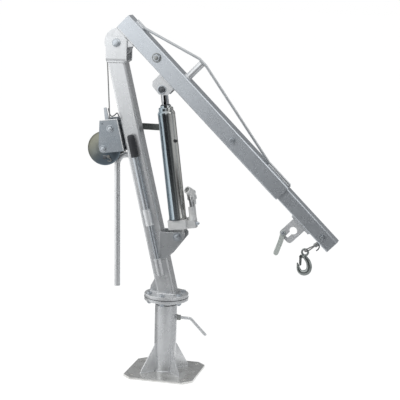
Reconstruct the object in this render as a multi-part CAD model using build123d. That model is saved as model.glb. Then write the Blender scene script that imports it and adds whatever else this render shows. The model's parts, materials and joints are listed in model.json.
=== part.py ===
from build123d import *
import math
import os

# Truck jib crane, in millimetres.
# Origin: centre of the base plate's underside, on the swivel axis.
# +Z is up, and at rest the boom points along +X in the plane Y = 0.

# Running clearance of a shaft in its hole, and the gap between other moving pieces
RUN = 0.05
GAP = 0.4

# Base
PLATE = 250.0
PLATE_T = 8.0
PLATE_CUT = 30.0
BOLT_SPACING = 190.0
BOLT_HOLE_R = 7.0
COLUMN_R = 39.0
COLUMN_WALL = 6.0
COLUMN_TOP = 250.0
GUSSET_REACH = 97.0
GUSSET_TOP = 106.0
GUSSET_T = 6.0
LOCK_Z = 204.5
LOCK_R = 5.0
LOCK_NUT_END = 54.0

# Swivel flange
SPINDLE_WALL = 8.0
COLLAR_GROOVE = 3.2
DISC_R = 78.0
COLLAR_TOP = 267.0
DISC_SPLIT = 279.0
FLANGE_TOP = 291.0
FLANGE_BOLTS = 6
FLANGE_BOLT_CIRCLE_R = 62.0
FLANGE_BOLT_R = 5.0
FLANGE_BOLT_FLATS = 16.5

# Mast
LEAN = math.radians(13.8)
MAST_SIDE = 60.0
MAST_WALL = 4.0
MAST_FOOT_X = 6.0
MAST_TOP = 1100.0
RIB_FOOT, RIB_HEIGHT = 36.0, 58.0
RIB_BULGE, RIB_BULGE_HEIGHT = 33.0, 22.0

# Yoke and boom pivot
PIVOT_X = -190.0
PIVOT_Z = 1165.0
PIVOT_R = 10.0
YOKE_HALF_X = 37.5
YOKE_TOP = 1185.0
YOKE_T = 5.0
YOKE_GAP = 62.0
YOKE_FLOOR = 6.0
YOKE_BEND_R = 11.0
YOKE_CUT, YOKE_NICK = 9.0, 3.0
PIVOT_HEAD_R, PIVOT_HEAD_T = 14.5, 8.0

# Boom, in its own frame: s along it from the pivot, h square to it
BOOM_DROP = math.radians(44.25)
BOOM_SIDE = 60.0
BOOM_WALL = 4.0
BOOM_UNDER = 35.0
BOOM_REAR = -38.0
BOOM_END = 766.0
INNER_SIDE = 50.0
INNER_WALL = 3.5
INNER_REAR = 300.0
INNER_END = 1014.0
GUIDE_S, GUIDE_H = 134.0, 67.0
CLAMP_S, CLAMP_H = 516.0, 66.0
EAR_REAR, EAR_FRONT = -36.0, 50.0
STRUT_S = 254.0
TRUSS_R = 4.7
TRUSS_PEAK = 167.5
TRUSS_RISE, TRUSS_FALL = 30.0, 655.0
TIP_S = 966.0
LUG_S, LUG_H = 224.0, 3.0
LUG_IN, LUG_OUT = 18.0, 24.0

# Rope
ROPE_R = 2.25
HEAD_ROPE_R = 47.0
TIP_ROPE_R = 14.0
WIND_R = 15.15
WIND_FROM_Y = -26.0
RUN_R = 20.0
RUN_LEAD_Y = -20.0
RUN_BEND_R = 900.0
ROPE_TURNS = 9
ROPE_PITCH = 5.2
ROPE_EXIT_TILT = math.radians(11.0)
FERRULE_FROM, FERRULE_TO, LOOP_END = 25.5, 44.5, 83.0
LOOP_R = 9.5
LOOP_TWIST = math.radians(30.0)
STRAND_HALF = 2.5

# Keyhole plate and keeper
KEY_S = 884.0
KEY_R = 13.5
KEY_SLOT = 10.0
KEEPER_S, KEEPER_H = 866.0, -30.0
KEEPER_LENGTH = 74.0

# Winch, in the mast's frame: x square to the mast, w along it from the foot
DRUM_X, DRUM_W = -107.0, 547.0
SHAFT_SPAN = 75.0
SHAFT_ANGLE = math.radians(57.9)
DRUM_CORE_R = 12.7
DRUM_DISC_R = 60.0
DRUM_DISC_Y = -32.5
DRUM_DISC_T = 3.0
GEAR_Y = 25.0
CRANK_R = 5.5
CRANK_ARM = 172.0
CRANK_GRIP_FROM, CRANK_GRIP_TO = 79.0, 160.0
PAWL_X, PAWL_W = -89.6, 632.5
PAWL_TAB = 50.0
SIDE_IN, SIDE_OUT = 40.0, 43.5
GEAR_TEETH, PINION_TEETH = 40, 10

# Bent handle for slewing the crane
SLEW_TOP, SLEW_LOW = 775.0, 302.0
SLEW_TOP_X, SLEW_LOW_X = -190.3, -181.5
SLEW_BEND_R = 38.0

# Jack
JACK_PIN_X, JACK_PIN_Z = 42.5, 503.0
JACK_PIN_R = 8.0
JACK_R = 30.0
JACK_BASE_LOW, JACK_BASE_TOP = 23.0, 56.0
JACK_TOP, JACK_CAP, JACK_NECK = 436.0, 449.0, 457.0
RAM_R = 13.0
PUMP_X = 53.0
PUMP_YAW = 29.0
PUMP_BARREL_R, PUMP_BARREL_TOP = 11.0, 96.0
PUMP_PIN_U = 126.0
PUMP_FULCRUM_Y = 17.0
VALVE_Y, VALVE_U = -9.0, 38.0
SOCKET_R, SOCKET_BORE_R = 13.0, 8.8
SOCKET_LENGTH, SOCKET_DEPTH = 33.0, 28.0
SOCKET_MOUTH_Y, SOCKET_MOUTH_U = -12.7, 159.0
SOCKET_RISE = 33.5

# Stored pump handle, in the mast's frame
HANDLE_Y = -44.2
HANDLE_LOW, HANDLE_STEP, HANDLE_TOP = 74.0, 311.4, 577.0


def direction(angle):
    return (math.cos(angle), 0, math.sin(angle))


def frame(x, z, angle):
    """A frame turned in the plane Y = 0, with its x axis at this angle above +X."""
    return Plane(origin=(x, 0, z), x_dir=direction(angle), z_dir=direction(angle + math.pi / 2))


def place(base, x, z):
    """World X and Z of a point given in a turned frame."""
    point = base.from_local_coords(Vector(x, 0, z))
    return point.X, point.Z


MAST = frame(MAST_FOOT_X, FLANGE_TOP, LEAN)
BOOM = frame(PIVOT_X, PIVOT_Z, -BOOM_DROP)
LUG_X, LUG_Z = place(BOOM, LUG_S, LUG_H)
JACK_LENGTH = math.hypot(LUG_X - JACK_PIN_X, LUG_Z - JACK_PIN_Z)
JACK_LEAN = math.atan2(JACK_PIN_X - LUG_X, LUG_Z - JACK_PIN_Z)
JACK = frame(JACK_PIN_X, JACK_PIN_Z, JACK_LEAN)
PUMP = Pos(PUMP_X, 0, 0) * Rot(0, 0, -PUMP_YAW)
CRANK_X = DRUM_X + SHAFT_SPAN * math.cos(SHAFT_ANGLE)
CRANK_W = DRUM_W + SHAFT_SPAN * math.sin(SHAFT_ANGLE)
CRANK = place(MAST, CRANK_X, CRANK_W)
DRUM = place(MAST, DRUM_X, DRUM_W)
BOOM_MID = BOOM_UNDER + BOOM_SIDE / 2


# Basic solids, with Y as the common width axis

def rod(radius, y0, y1, x=0.0, z=0.0):
    return Pos(x, (y0 + y1) / 2, z) * (Rot(90, 0, 0) * Cylinder(radius, y1 - y0))


def hexagon(flats, y0, y1, x=0.0, z=0.0):
    ground = Plane(origin=(x, y0, z), x_dir=(1, 0, 0), z_dir=(0, 1, 0))
    return extrude(ground * RegularPolygon(flats / 2, 6, major_radius=False), y1 - y0)


def plate(points, y0, y1):
    outline = Polyline(*[(x, y0, z) for x, z in points], close=True)
    return extrude(make_face(outline), amount=y1 - y0, dir=(0, 1, 0))


def block(x0, x1, y0, y1, z0, z1):
    return Pos((x0 + x1) / 2, (y0 + y1) / 2, (z0 + z1) / 2) * Box(x1 - x0, y1 - y0, z1 - z0)


def pair(solid):
    """A piece and its mirror image across Y = 0."""
    return Compound([solid, mirror(solid, Plane.XZ)])


def upright(radius, z0, z1, x=0.0, y=0.0):
    return Pos(x, y, (z0 + z1) / 2) * Cylinder(radius, z1 - z0)


def bar_link(length, width, y0, y1, x, z, angle):
    """A flat bar with round ends from (x, z), at this angle above +X."""
    ground = Plane(origin=(x, y1, z), x_dir=direction(angle), z_dir=(0, -1, 0))
    return extrude(ground * Pos(length / 2, 0) * SlotCenterToCenter(length, width), y1 - y0)


def square_tube(side, wall, length):
    corner = 1.6 * wall
    outer = RectangleRounded(side, side, corner)
    inner = RectangleRounded(side - 2 * wall, side - 2 * wall, corner - wall)
    return extrude(outer - inner, length)


def along(path, radius, bore=0.0):
    ring = Circle(radius) - Circle(bore) if bore else Circle(radius)
    return sweep(Plane(origin=path @ 0, z_dir=path % 0) * ring, path=path)


def bent(points, radius, bend, bore=0.0):
    path = FilletPolyline(*[(x, 0, z) for x, z in points], radius=bend)
    return along(path, radius, bore)


def toothed(teeth, root, tip, root_half, tip_half, x, z, first):
    """Outline of a wheel with straight-sided teeth, one centred on the angle first."""
    points = []
    for i in range(teeth):
        middle = first + 2 * math.pi * i / teeth
        for r, half in ((root, -root_half), (tip, -tip_half), (tip, tip_half), (root, root_half)):
            angle = middle + half / r
            points.append((x + r * math.cos(angle), z + r * math.sin(angle)))
    return points


def grooved(bore, hub, hub_half, rope, rim, rim_half):
    """A sheave on the Y axis with a groove for the rope's centre line radius."""
    floor = rope - ROPE_R - 0.2
    ring = [(bore, -hub_half), (hub, -hub_half), (hub, -rim_half), (rim, -rim_half), (rim, -5.2)]
    ring += [(floor, -2.4), (floor, 2.4)]
    ring += [(rim, 5.2), (rim, rim_half), (hub, rim_half), (hub, hub_half), (bore, hub_half)]
    outline = Polyline(*[(r, y, 0) for r, y in ring], close=True)
    return revolve(make_face(outline), Axis.Y)


# Base

def base_plate():
    plan = chamfer(Rectangle(PLATE, PLATE).vertices(), PLATE_CUT)
    holes = GridLocations(BOLT_SPACING, BOLT_SPACING, 2, 2) * Circle(BOLT_HOLE_R)
    return extrude(plan - holes, PLATE_T)


def base_column():
    tube = upright(COLUMN_R, PLATE_T, COLUMN_TOP) - upright(COLUMN_R - COLUMN_WALL, PLATE_T, COLUMN_TOP)
    tube = chamfer(tube.edges().group_by(Axis.Z)[-1].sort_by(SortBy.RADIUS)[-1], 1.2)
    return tube - Pos(COLUMN_R, 0, LOCK_Z) * Rot(0, 90, 0) * Cylinder(LOCK_R + RUN, 40)


def base_gussets():
    low, toe = PLATE_T, PLATE_T + 8
    side = [(COLUMN_R - 2, low), (GUSSET_REACH, low), (GUSSET_REACH, toe)]
    side += [(COLUMN_R + 4, GUSSET_TOP), (COLUMN_R - 2, GUSSET_TOP)]
    one = plate(side, -GUSSET_T / 2, GUSSET_T / 2) - upright(COLUMN_R, 0, COLUMN_TOP)
    return Compound([Rot(0, 0, 45 + 90 * i) * one for i in range(4)])


def lock_nut():
    ground = Plane(origin=(COLUMN_R - 3, 0, LOCK_Z), x_dir=(0, 1, 0), z_dir=(1, 0, 0))
    shape = RegularPolygon(8.5, 6, major_radius=False) - Circle(LOCK_R + RUN)
    return extrude(ground * shape, LOCK_NUT_END - COLUMN_R + 3) - upright(COLUMN_R, 0, COLUMN_TOP)


def lock_screw():
    tip = COLUMN_R - COLUMN_WALL + GAP
    return bent([(tip, LOCK_Z), (90, LOCK_Z), (147, LOCK_Z - 57)], LOCK_R, 12)


# Swivel flange

def ring_of_bolts(shape):
    step = 360 / FLANGE_BOLTS
    arm = Pos(FLANGE_BOLT_CIRCLE_R, 0, 0)
    return Compound([Rot(0, 0, step / 2 + step * i) * arm * shape for i in range(FLANGE_BOLTS)])


def disc(low, high):
    body = upright(DISC_R, low, high)
    body = chamfer(body.edges().filter_by(GeomType.CIRCLE), 1.2)
    return body - ring_of_bolts(upright(FLANGE_BOLT_R + 0.3, low - 1, high + 1))


def swivel_spindle():
    post = upright(COLUMN_R - COLUMN_WALL - RUN, 40, COLUMN_TOP + 0.2)
    post += upright(COLUMN_R - COLLAR_GROOVE, COLUMN_TOP + 0.2, COLUMN_TOP + COLLAR_GROOVE)
    collar = upright(COLUMN_R, COLUMN_TOP + COLLAR_GROOVE, COLLAR_TOP)
    hollow = upright(COLUMN_R - COLUMN_WALL - SPINDLE_WALL, 30, COLLAR_TOP)
    return post + collar + disc(COLLAR_TOP, DISC_SPLIT) - hollow


def mast_flange():
    return disc(DISC_SPLIT, FLANGE_TOP)


def flange_bolts():
    hexagon_up = RegularPolygon(FLANGE_BOLT_FLATS / 2, 6, major_radius=False)
    head = Pos(0, 0, FLANGE_TOP) * extrude(hexagon_up, 6.5)
    nut = Pos(0, 0, COLLAR_TOP - 8.5) * extrude(hexagon_up, 8.5)
    return ring_of_bolts(head + nut + upright(FLANGE_BOLT_R, COLLAR_TOP - 12, FLANGE_TOP))


# Mast

def mast_tube():
    long = Pos(0, 0, -60) * square_tube(MAST_SIDE, MAST_WALL, 1000)
    return (MAST * long) & block(-500, 500, -100, 100, FLANGE_TOP, MAST_TOP)


def mast_rib():
    back = MAST_FOOT_X - MAST_SIDE / 2 / math.cos(LEAN)
    side = [(back, FLANGE_TOP), (back - RIB_HEIGHT * math.tan(LEAN), FLANGE_TOP + RIB_HEIGHT)]
    side += [(back - RIB_BULGE, FLANGE_TOP + RIB_BULGE_HEIGHT), (back - RIB_FOOT, FLANGE_TOP)]
    return plate(side, -3, 3)


def mast_yoke():
    """A channel bent from plate, open upwards, with the corners of its cheeks cut."""
    half, low, top = YOKE_GAP / 2, MAST_TOP, YOKE_TOP
    out = half + YOKE_T
    x0, x1 = PIVOT_X - YOKE_HALF_X, PIVOT_X + YOKE_HALF_X
    body = block(x0, x1, -out, out, low, top)
    body = fillet(body.edges().filter_by(Axis.X).group_by(Axis.Z)[0], YOKE_BEND_R)
    hollow = block(x0 - 1, x1 + 1, -half, half, low + YOKE_FLOOR, top + 1)
    body -= fillet(hollow.edges().filter_by(Axis.X).group_by(Axis.Z)[0], YOKE_BEND_R - YOKE_T)
    cheek = [(x0, low), (x1, low), (x1, top - YOKE_CUT), (x1 - YOKE_CUT, top)]
    cheek += [(x0 + YOKE_NICK, top), (x0, top - YOKE_NICK)]
    body &= plate(cheek, -out, out)
    return body - rod(PIVOT_R + RUN, -60, 60, PIVOT_X, PIVOT_Z)


def pivot_pin():
    out = YOKE_GAP / 2 + YOKE_T
    pin = rod(PIVOT_R, -out - 4, out + 4, PIVOT_X, PIVOT_Z)
    head = rod(PIVOT_HEAD_R, -out - PIVOT_HEAD_T, -out, PIVOT_X, PIVOT_Z)
    head = chamfer(head.edges().group_by(Axis.Y)[0], 3.5)
    return pin + head + rod(11.5, out, out + 6, PIVOT_X, PIVOT_Z)


def jack_bracket():
    side = [(-20, 423), (5, 423), (15, 432), (66, 499), (66, 511), (60, 518), (-20, 516)]
    half = MAST_SIDE / 2
    one = plate(side, half, half + 6) - rod(JACK_PIN_R + RUN, 0, 60, JACK_PIN_X, JACK_PIN_Z)
    return pair(one)


def jack_lower_pin():
    out = MAST_SIDE / 2 + 6
    pin = rod(JACK_PIN_R, -out, out, JACK_PIN_X, JACK_PIN_Z)
    pin += hexagon(20, -out - 7, -out, JACK_PIN_X, JACK_PIN_Z)
    return pin + hexagon(20, out, out + 7, JACK_PIN_X, JACK_PIN_Z)


def handle_sleeve(low, high):
    tube = upright(13.5, low, high, 0, HANDLE_Y)
    weld = block(-6, 6, -MAST_SIDE / 2 - 5, -MAST_SIDE / 2, low, high)
    return MAST * (tube + weld - upright(7.8, low - 1, high + 1, 0, HANDLE_Y))


def slewing_handle():
    points = [(-135, SLEW_TOP), (SLEW_TOP_X, SLEW_TOP), (SLEW_LOW_X, SLEW_LOW)]
    tube = bent(points, 10, SLEW_BEND_R, bore=8)
    return tube - MAST * (Pos(0, 0, 450) * Box(MAST_SIDE, MAST_SIDE, 300))


def winch_frame():
    face = -MAST_SIDE / 2 - 4
    outline = [(face, 525), (face, 640), (-98.7, 645.7), (DRUM_X - 15.5, 556), (DRUM_X - 6, DRUM_W - 14.5)]
    side = plate(outline, SIDE_IN, SIDE_OUT) + rod(15.5, SIDE_IN, SIDE_OUT, DRUM_X, DRUM_W)
    body = block(face - 3.5, face, -SIDE_OUT, SIDE_OUT, 525, 640)
    body += side + mirror(side, Plane.XZ) + rod(4, -SIDE_IN, SIDE_OUT, PAWL_X, PAWL_W)
    for low in (531, 618):
        body += block(face, face + 4, -20, 20, low, low + 16)
    body -= rod(3.5, -60, -SIDE_IN, PAWL_X, PAWL_W)
    body -= rod(6 + RUN, -60, 60, DRUM_X, DRUM_W)
    return MAST * (body - rod(CRANK_R + RUN, -60, 60, CRANK_X, CRANK_W))


def winch_drum_shaft():
    shaft = rod(6, -SIDE_OUT, SIDE_OUT, DRUM_X, DRUM_W)
    shaft += hexagon(16, -SIDE_OUT - 6, -SIDE_OUT, DRUM_X, DRUM_W)
    return MAST * (shaft + hexagon(16, SIDE_OUT, SIDE_OUT + 6, DRUM_X, DRUM_W))


# Winch drum, crank and pawl

def winch_drum():
    inner = DRUM_DISC_Y + DRUM_DISC_T
    body = rod(DRUM_CORE_R, inner, GEAR_Y, DRUM_X, DRUM_W)
    rim = rod(DRUM_DISC_R, DRUM_DISC_Y, inner, DRUM_X, DRUM_W)
    return MAST * (body + rim - rod(6 + RUN, -40, 40, DRUM_X, DRUM_W))


def winch_gear():
    gap_on_line = SHAFT_ANGLE + math.pi / GEAR_TEETH
    teeth = toothed(GEAR_TEETH, 56.2, 62.3, 2.6, 1.0, DRUM_X, DRUM_W, gap_on_line)
    return MAST * (plate(teeth, GEAR_Y, GEAR_Y + 8) - rod(6 + RUN, 20, 40, DRUM_X, DRUM_W))


def crank_shaft():
    teeth = toothed(PINION_TEETH, 11.2, 17.5, 2.3, 0.9, CRANK_X, CRANK_W, SHAFT_ANGLE + math.pi)
    shaft = rod(CRANK_R, -SIDE_OUT - 3, 77, CRANK_X, CRANK_W) + plate(teeth, GEAR_Y - 1, GEAR_Y + 9)
    shaft += hexagon(16, -SIDE_OUT - 7, -SIDE_OUT - GAP, CRANK_X, CRANK_W)
    return MAST * (shaft + hexagon(16, 77, 84, CRANK_X, CRANK_W))


def ratchet_wheel():
    points = []
    count = 12
    for i in range(count):
        angle = 2 * math.pi * i / count
        for r, turn in ((12.0, 0.0), (16.0, 0.06)):
            points.append((CRANK_X + r * math.cos(angle + turn), CRANK_W + r * math.sin(angle + turn)))
    return MAST * (plate(points, 10, 16) - rod(CRANK_R, 0, 20, CRANK_X, CRANK_W))


def crank_arm():
    x, z = CRANK
    arm = bar_link(CRANK_ARM, 22, 70, 77, x, z, 0) - rod(CRANK_R, 60, 80, x, z)
    end = CRANK_GRIP_TO + 4
    return arm + rod(5, 77, end, x + CRANK_ARM, z) + rod(8, end - 3, end, x + CRANK_ARM, z)


def crank_grip():
    x, z = CRANK[0] + CRANK_ARM, CRANK[1]
    grip = rod(14, CRANK_GRIP_FROM, CRANK_GRIP_TO, x, z)
    grip = fillet(grip.edges().filter_by(GeomType.CIRCLE), 4)
    return grip - rod(5 + RUN, 70, 200, x, z)


def winch_pawl():
    toward = math.atan2(CRANK_W - PAWL_W, CRANK_X - PAWL_X)
    nose = bar_link(11, 7, 10.5, 15.5, PAWL_X, PAWL_W, toward)
    root, top = PAWL_W, PAWL_W + PAWL_TAB
    tab = plate([(PAWL_X - 8, root), (PAWL_X + 8, root), (PAWL_X + 7, top), (PAWL_X - 2, top + 1)], 10.5, 15.5)
    body = rod(9, 10.5, 15.5, PAWL_X, PAWL_W) + nose + tab
    return MAST * (body - rod(4 + RUN, 0, 30, PAWL_X, PAWL_W))


# Boom

def boom_section(side, wall, start, end):
    ground = Plane(origin=(start, 0, BOOM_MID), x_dir=(0, 1, 0), z_dir=(1, 0, 0))
    return ground * square_tube(side, wall, end - start)


def boom_tube():
    tube = boom_section(BOOM_SIDE, BOOM_WALL, BOOM_REAR, BOOM_END)
    tube -= block(BOOM_REAR - 5, 48, -13, 13, BOOM_UNDER - 5, BOOM_UNDER + BOOM_WALL + 2)
    tube -= rod(7 + RUN, -60, 60, GUIDE_S, GUIDE_H)
    return BOOM * (tube - rod(LOCK_R + RUN, -60, 0, CLAMP_S, CLAMP_H))


def boom_ears():
    side = plate([(EAR_REAR, BOOM_UNDER), (EAR_FRONT, BOOM_UNDER), (20, -13.3), (-20, -13.3)], 24, 30)
    one = side + rod(24, 24, 30) - rod(PIVOT_R + RUN, 0, 60)
    return BOOM * pair(one)


def boom_lugs():
    side = [(181, BOOM_UNDER), (181, -2), (192, -14), (228, -17), (251, 4), (251, BOOM_UNDER)]
    return BOOM * pair(plate(side, LUG_IN, LUG_OUT) - rod(JACK_PIN_R + RUN, 0, 60, LUG_S, LUG_H))


def lug_bolt():
    stub = rod(JACK_PIN_R, LUG_IN, LUG_OUT, LUG_S, LUG_H)
    return BOOM * pair(stub + hexagon(20, LUG_OUT, LUG_OUT + 8, LUG_S, LUG_H))


def truss_rod():
    low = BOOM_UNDER + BOOM_SIDE + TRUSS_R
    points = [(-8, low), (TRUSS_RISE, low), (STRUT_S - 18, TRUSS_PEAK), (STRUT_S + 15, TRUSS_PEAK)]
    points += [(TRUSS_FALL, low), (762, low)]
    return BOOM * bent(points, TRUSS_R, 24)


def truss_strut():
    return BOOM * upright(12, BOOM_UNDER + BOOM_SIDE, TRUSS_PEAK - TRUSS_R, STRUT_S)


def guide_axle():
    half = BOOM_SIDE / 2
    axle = rod(7, -half, half, GUIDE_S, GUIDE_H) + hexagon(22, -half - 8, -half, GUIDE_S, GUIDE_H)
    return BOOM * (axle + hexagon(22, half, half + 10, GUIDE_S, GUIDE_H))


def guide_roller():
    return BOOM * (rod(12.5, -20, 20, GUIDE_S, GUIDE_H) - rod(7 + RUN, -30, 30, GUIDE_S, GUIDE_H))


def clamp_screw():
    half = BOOM_SIDE / 2
    screw = rod(LOCK_R, -half, -INNER_SIDE / 2 - GAP, CLAMP_S, CLAMP_H)
    nut = hexagon(17, -half - 7, -half, CLAMP_S, CLAMP_H)
    return BOOM * (screw + nut + hexagon(14, -half - 12, -half - 7, CLAMP_S, CLAMP_H))


# Inner boom

def inner_tube():
    tube = boom_section(INNER_SIDE, INNER_WALL, INNER_REAR, INNER_END)
    floor = BOOM_MID - INNER_SIDE / 2
    tube -= block(TIP_S - 8, TIP_S + 22, -8, 8, floor - 5, floor + INNER_WALL + 2)
    return BOOM * (tube - rod(5 + RUN, -60, 60, TIP_S, BOOM_MID))


def tip_axle():
    half = INNER_SIDE / 2
    axle = rod(5, -half, half, TIP_S, BOOM_MID) + hexagon(13, -half - 6, -half, TIP_S, BOOM_MID)
    return BOOM * (axle + hexagon(13, half, half + 7, TIP_S, BOOM_MID))


def tip_sheave():
    return BOOM * Pos(TIP_S, 0, BOOM_MID) * grooved(5 + RUN, 8, 16, TIP_ROPE_R, 17, 6.5)


def keyhole_strip():
    floor = BOOM_MID - INNER_SIDE / 2
    return BOOM * block(844, 927, -20, 20, floor - 7, floor)


def keyhole_plate():
    top = BOOM_MID - INNER_SIDE / 2 - 7
    body = plate([(854, top), (910, top), (910, -43), (854, -43)], -4, 4)
    body = fillet(body.edges().filter_by(Axis.Y).group_by(Axis.Z)[0], 13)
    body -= rod(KEY_R, -10, 10, KEY_S) + block(KEY_S - KEY_SLOT / 2, KEY_S + KEY_SLOT / 2, -10, 10, -28, 0)
    body -= rod(KEY_SLOT / 2, -10, 10, KEY_S, -28)
    return BOOM * (body - rod(4 + RUN, -10, 10, KEEPER_S, KEEPER_H))


def keeper_bolt():
    bolt = rod(4, -10, 4, KEEPER_S, KEEPER_H) + hexagon(13, -15, -9.4 - GAP, KEEPER_S, KEEPER_H)
    return BOOM * (bolt + hexagon(13, 4, 10, KEEPER_S, KEEPER_H))


def keeper_lever():
    x, z = place(BOOM, KEEPER_S, KEEPER_H)
    bar = bar_link(KEEPER_LENGTH, 17, -9.4, -4 - GAP, x, z, math.radians(-107))
    return bar - rod(4 + RUN, -20, 0, x, z)


# Rope

def run_angle():
    span = math.hypot(PIVOT_X - DRUM[0], PIVOT_Z - DRUM[1])
    line = math.atan2(PIVOT_Z - DRUM[1], PIVOT_X - DRUM[0])
    return line + math.asin((RUN_R + HEAD_ROPE_R) / span)


def rope_lower():
    left = run_angle() + math.pi / 2
    stop = math.radians(80)
    start = Vector(DRUM[0] - RUN_R * math.cos(left), 0, DRUM[1] - RUN_R * math.sin(left))

    def on_sheave(angle):
        return Vector(PIVOT_X + HEAD_ROPE_R * math.cos(angle), 0, PIVOT_Z + HEAD_ROPE_R * math.sin(angle))

    touch = on_sheave(left)
    level = touch + (start - touch) * 0.3
    rise = FilletPolyline(start + Vector(0, RUN_LEAD_Y, 0), level, touch, radius=RUN_BEND_R)
    over = ThreePointArc(touch, on_sheave((left + stop) / 2), on_sheave(stop))
    return along(Wire([*rise.edges(), over.edge()]), ROPE_R)


def boom_run_slope():
    rise = BOOM_MID
    span = math.hypot(TIP_S, rise)
    return math.atan2(rise, TIP_S) - math.asin((HEAD_ROPE_R - TIP_ROPE_R) / span)


def run_height(s):
    slope = boom_run_slope()
    return HEAD_ROPE_R / math.cos(slope) + s * math.tan(slope)


def rope_boom():
    near, far = 23, INNER_REAR - 0.5
    return BOOM * along(Line((near, 0, run_height(near)), (far, 0, run_height(far))), ROPE_R)


def exit_point(length):
    """A point on the rope below the tip sheave, this far from where it leaves the sheave."""
    tilt = ROPE_EXIT_TILT
    s = TIP_S + TIP_ROPE_R * math.cos(tilt) - length * math.sin(tilt)
    return Vector(s, 0, BOOM_MID - TIP_ROPE_R * math.sin(tilt) - length * math.cos(tilt))


def loop_across():
    """The direction in which the two strands of the eye lie apart, square to the rope's fall."""
    down = exit_point(1) - exit_point(0)
    return Vector(0, 1, 0) * math.cos(LOOP_TWIST) + Vector(-down.Z, 0, down.X) * math.sin(LOOP_TWIST)


def rope_tip():
    first = math.pi / 2 + boom_run_slope()
    last = -ROPE_EXIT_TILT

    def on_sheave(angle):
        return Vector(TIP_S + TIP_ROPE_R * math.cos(angle), 0, BOOM_MID + TIP_ROPE_R * math.sin(angle))

    run = Line((INNER_REAR, 0, run_height(INNER_REAR)), on_sheave(first))
    over = ThreePointArc(on_sheave(first), on_sheave((first + last) / 2), on_sheave(last))
    fall = Line(on_sheave(last), exit_point(FERRULE_FROM))
    return BOOM * along(Wire([run.edge(), over.edge(), fall.edge()]), ROPE_R)


def rope_ferrule():
    down = exit_point(1) - exit_point(0)
    ground = Plane(origin=exit_point(FERRULE_FROM), x_dir=loop_across(), z_dir=down)
    body = extrude(ground * SlotCenterToCenter(6.5, 12.5), FERRULE_TO - FERRULE_FROM)
    return BOOM * body


def rope_eye():
    """The loop beyond the ferrule, in a plane that holds the rope's fall."""
    down = exit_point(1) - exit_point(0)
    start, half = FERRULE_TO + 1.2, STRAND_HALF
    centre = LOOP_END - LOOP_R
    reach = math.hypot(centre - start, half)
    lead = math.acos(LOOP_R / reach) - math.atan2(half, centre - start)
    touch = Vector(-LOOP_R * math.cos(lead), LOOP_R * math.sin(lead))

    def at(along_rope, across):
        return exit_point(0) + down * along_rope + loop_across() * across

    top = at(centre + touch.X, touch.Y)
    low = at(centre + touch.X, -touch.Y)
    out = Line(at(start, half), top)
    turn = ThreePointArc(top, at(LOOP_END, 0), low)
    back = Line(low, at(start, -half))
    return BOOM * along(Wire([out.edge(), turn.edge(), back.edge()]), ROPE_R)


def helix_point(turn):
    angle = 2 * math.pi * turn
    return Vector(WIND_R * math.cos(angle), WIND_FROM_Y + ROPE_PITCH * turn, WIND_R * math.sin(angle))


def helix_tangent(turn):
    angle = 2 * math.pi * turn
    climb = ROPE_PITCH / (2 * math.pi)
    return Vector(-WIND_R * math.sin(angle), climb, WIND_R * math.cos(angle)).normalized()


def biarc(p, t, q, u):
    """Two arcs from p to q that leave along t and arrive along u."""
    chord = q - p
    sides = t + u
    a = 2 * (1 - t.dot(u))
    b = 2 * chord.dot(sides)
    reach = (-b + math.sqrt(b * b + 4 * a * chord.dot(chord))) / (2 * a)
    joint = (p + t * reach + q - u * reach) * 0.5
    middle = (q - u * reach - p - t * reach).normalized()
    return [TangentArc(p, joint, tangent=t).edge(), TangentArc(joint, q, tangent=middle).edge()]


def rope_winding():
    edges = []
    for i in range(4 * ROPE_TURNS):
        a, b = i / 4, (i + 1) / 4
        edges += biarc(helix_point(a), helix_tangent(a), helix_point(b), helix_tangent(b))
    samples = [helix_point(i / 36) for i in range(36 * ROPE_TURNS + 1)]
    gaps = [(samples[i] - q).length for i in range(0, len(samples), 6) for q in samples[i + 18:]]
    print("rope_winding least gap to itself", round(min(gaps) - 2 * ROPE_R, 2), "mm")
    return MAST * Pos(DRUM_X, 0, DRUM_W) * along(Wire(edges), ROPE_R)


def mast_sheave():
    wheel = grooved(PIVOT_R + RUN, 17, 23.5, HEAD_ROPE_R, 50.5, 9)
    return Pos(PIVOT_X, 0, PIVOT_Z) * wheel


# Hook, set from its eye's centre

def hook_eye():
    end = BOOM.from_local_coords(exit_point(LOOP_END))
    return end.X, end.Z - EYE_DROP


EYE_DROP = 2.7
EYE_R, EYE_WIRE_R = 10.7, 3.8
BOWL_R, BOWL_WIRE_R = 18.0, 9.0
BOWL_X, BOWL_Z = -1.8, -55.0
BEAK, BEAK_END_R = 20.0, 3.6
BEAK_LEAN = math.radians(20.0)
LATCH_X, LATCH_Z = -13.5, -16.0
LATCH_PIN_R = 1.6
BOSS_R, BOSS_HALF = 4.4, 4.0
LATCH_IN, LATCH_OUT = 4.3, 5.5


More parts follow.
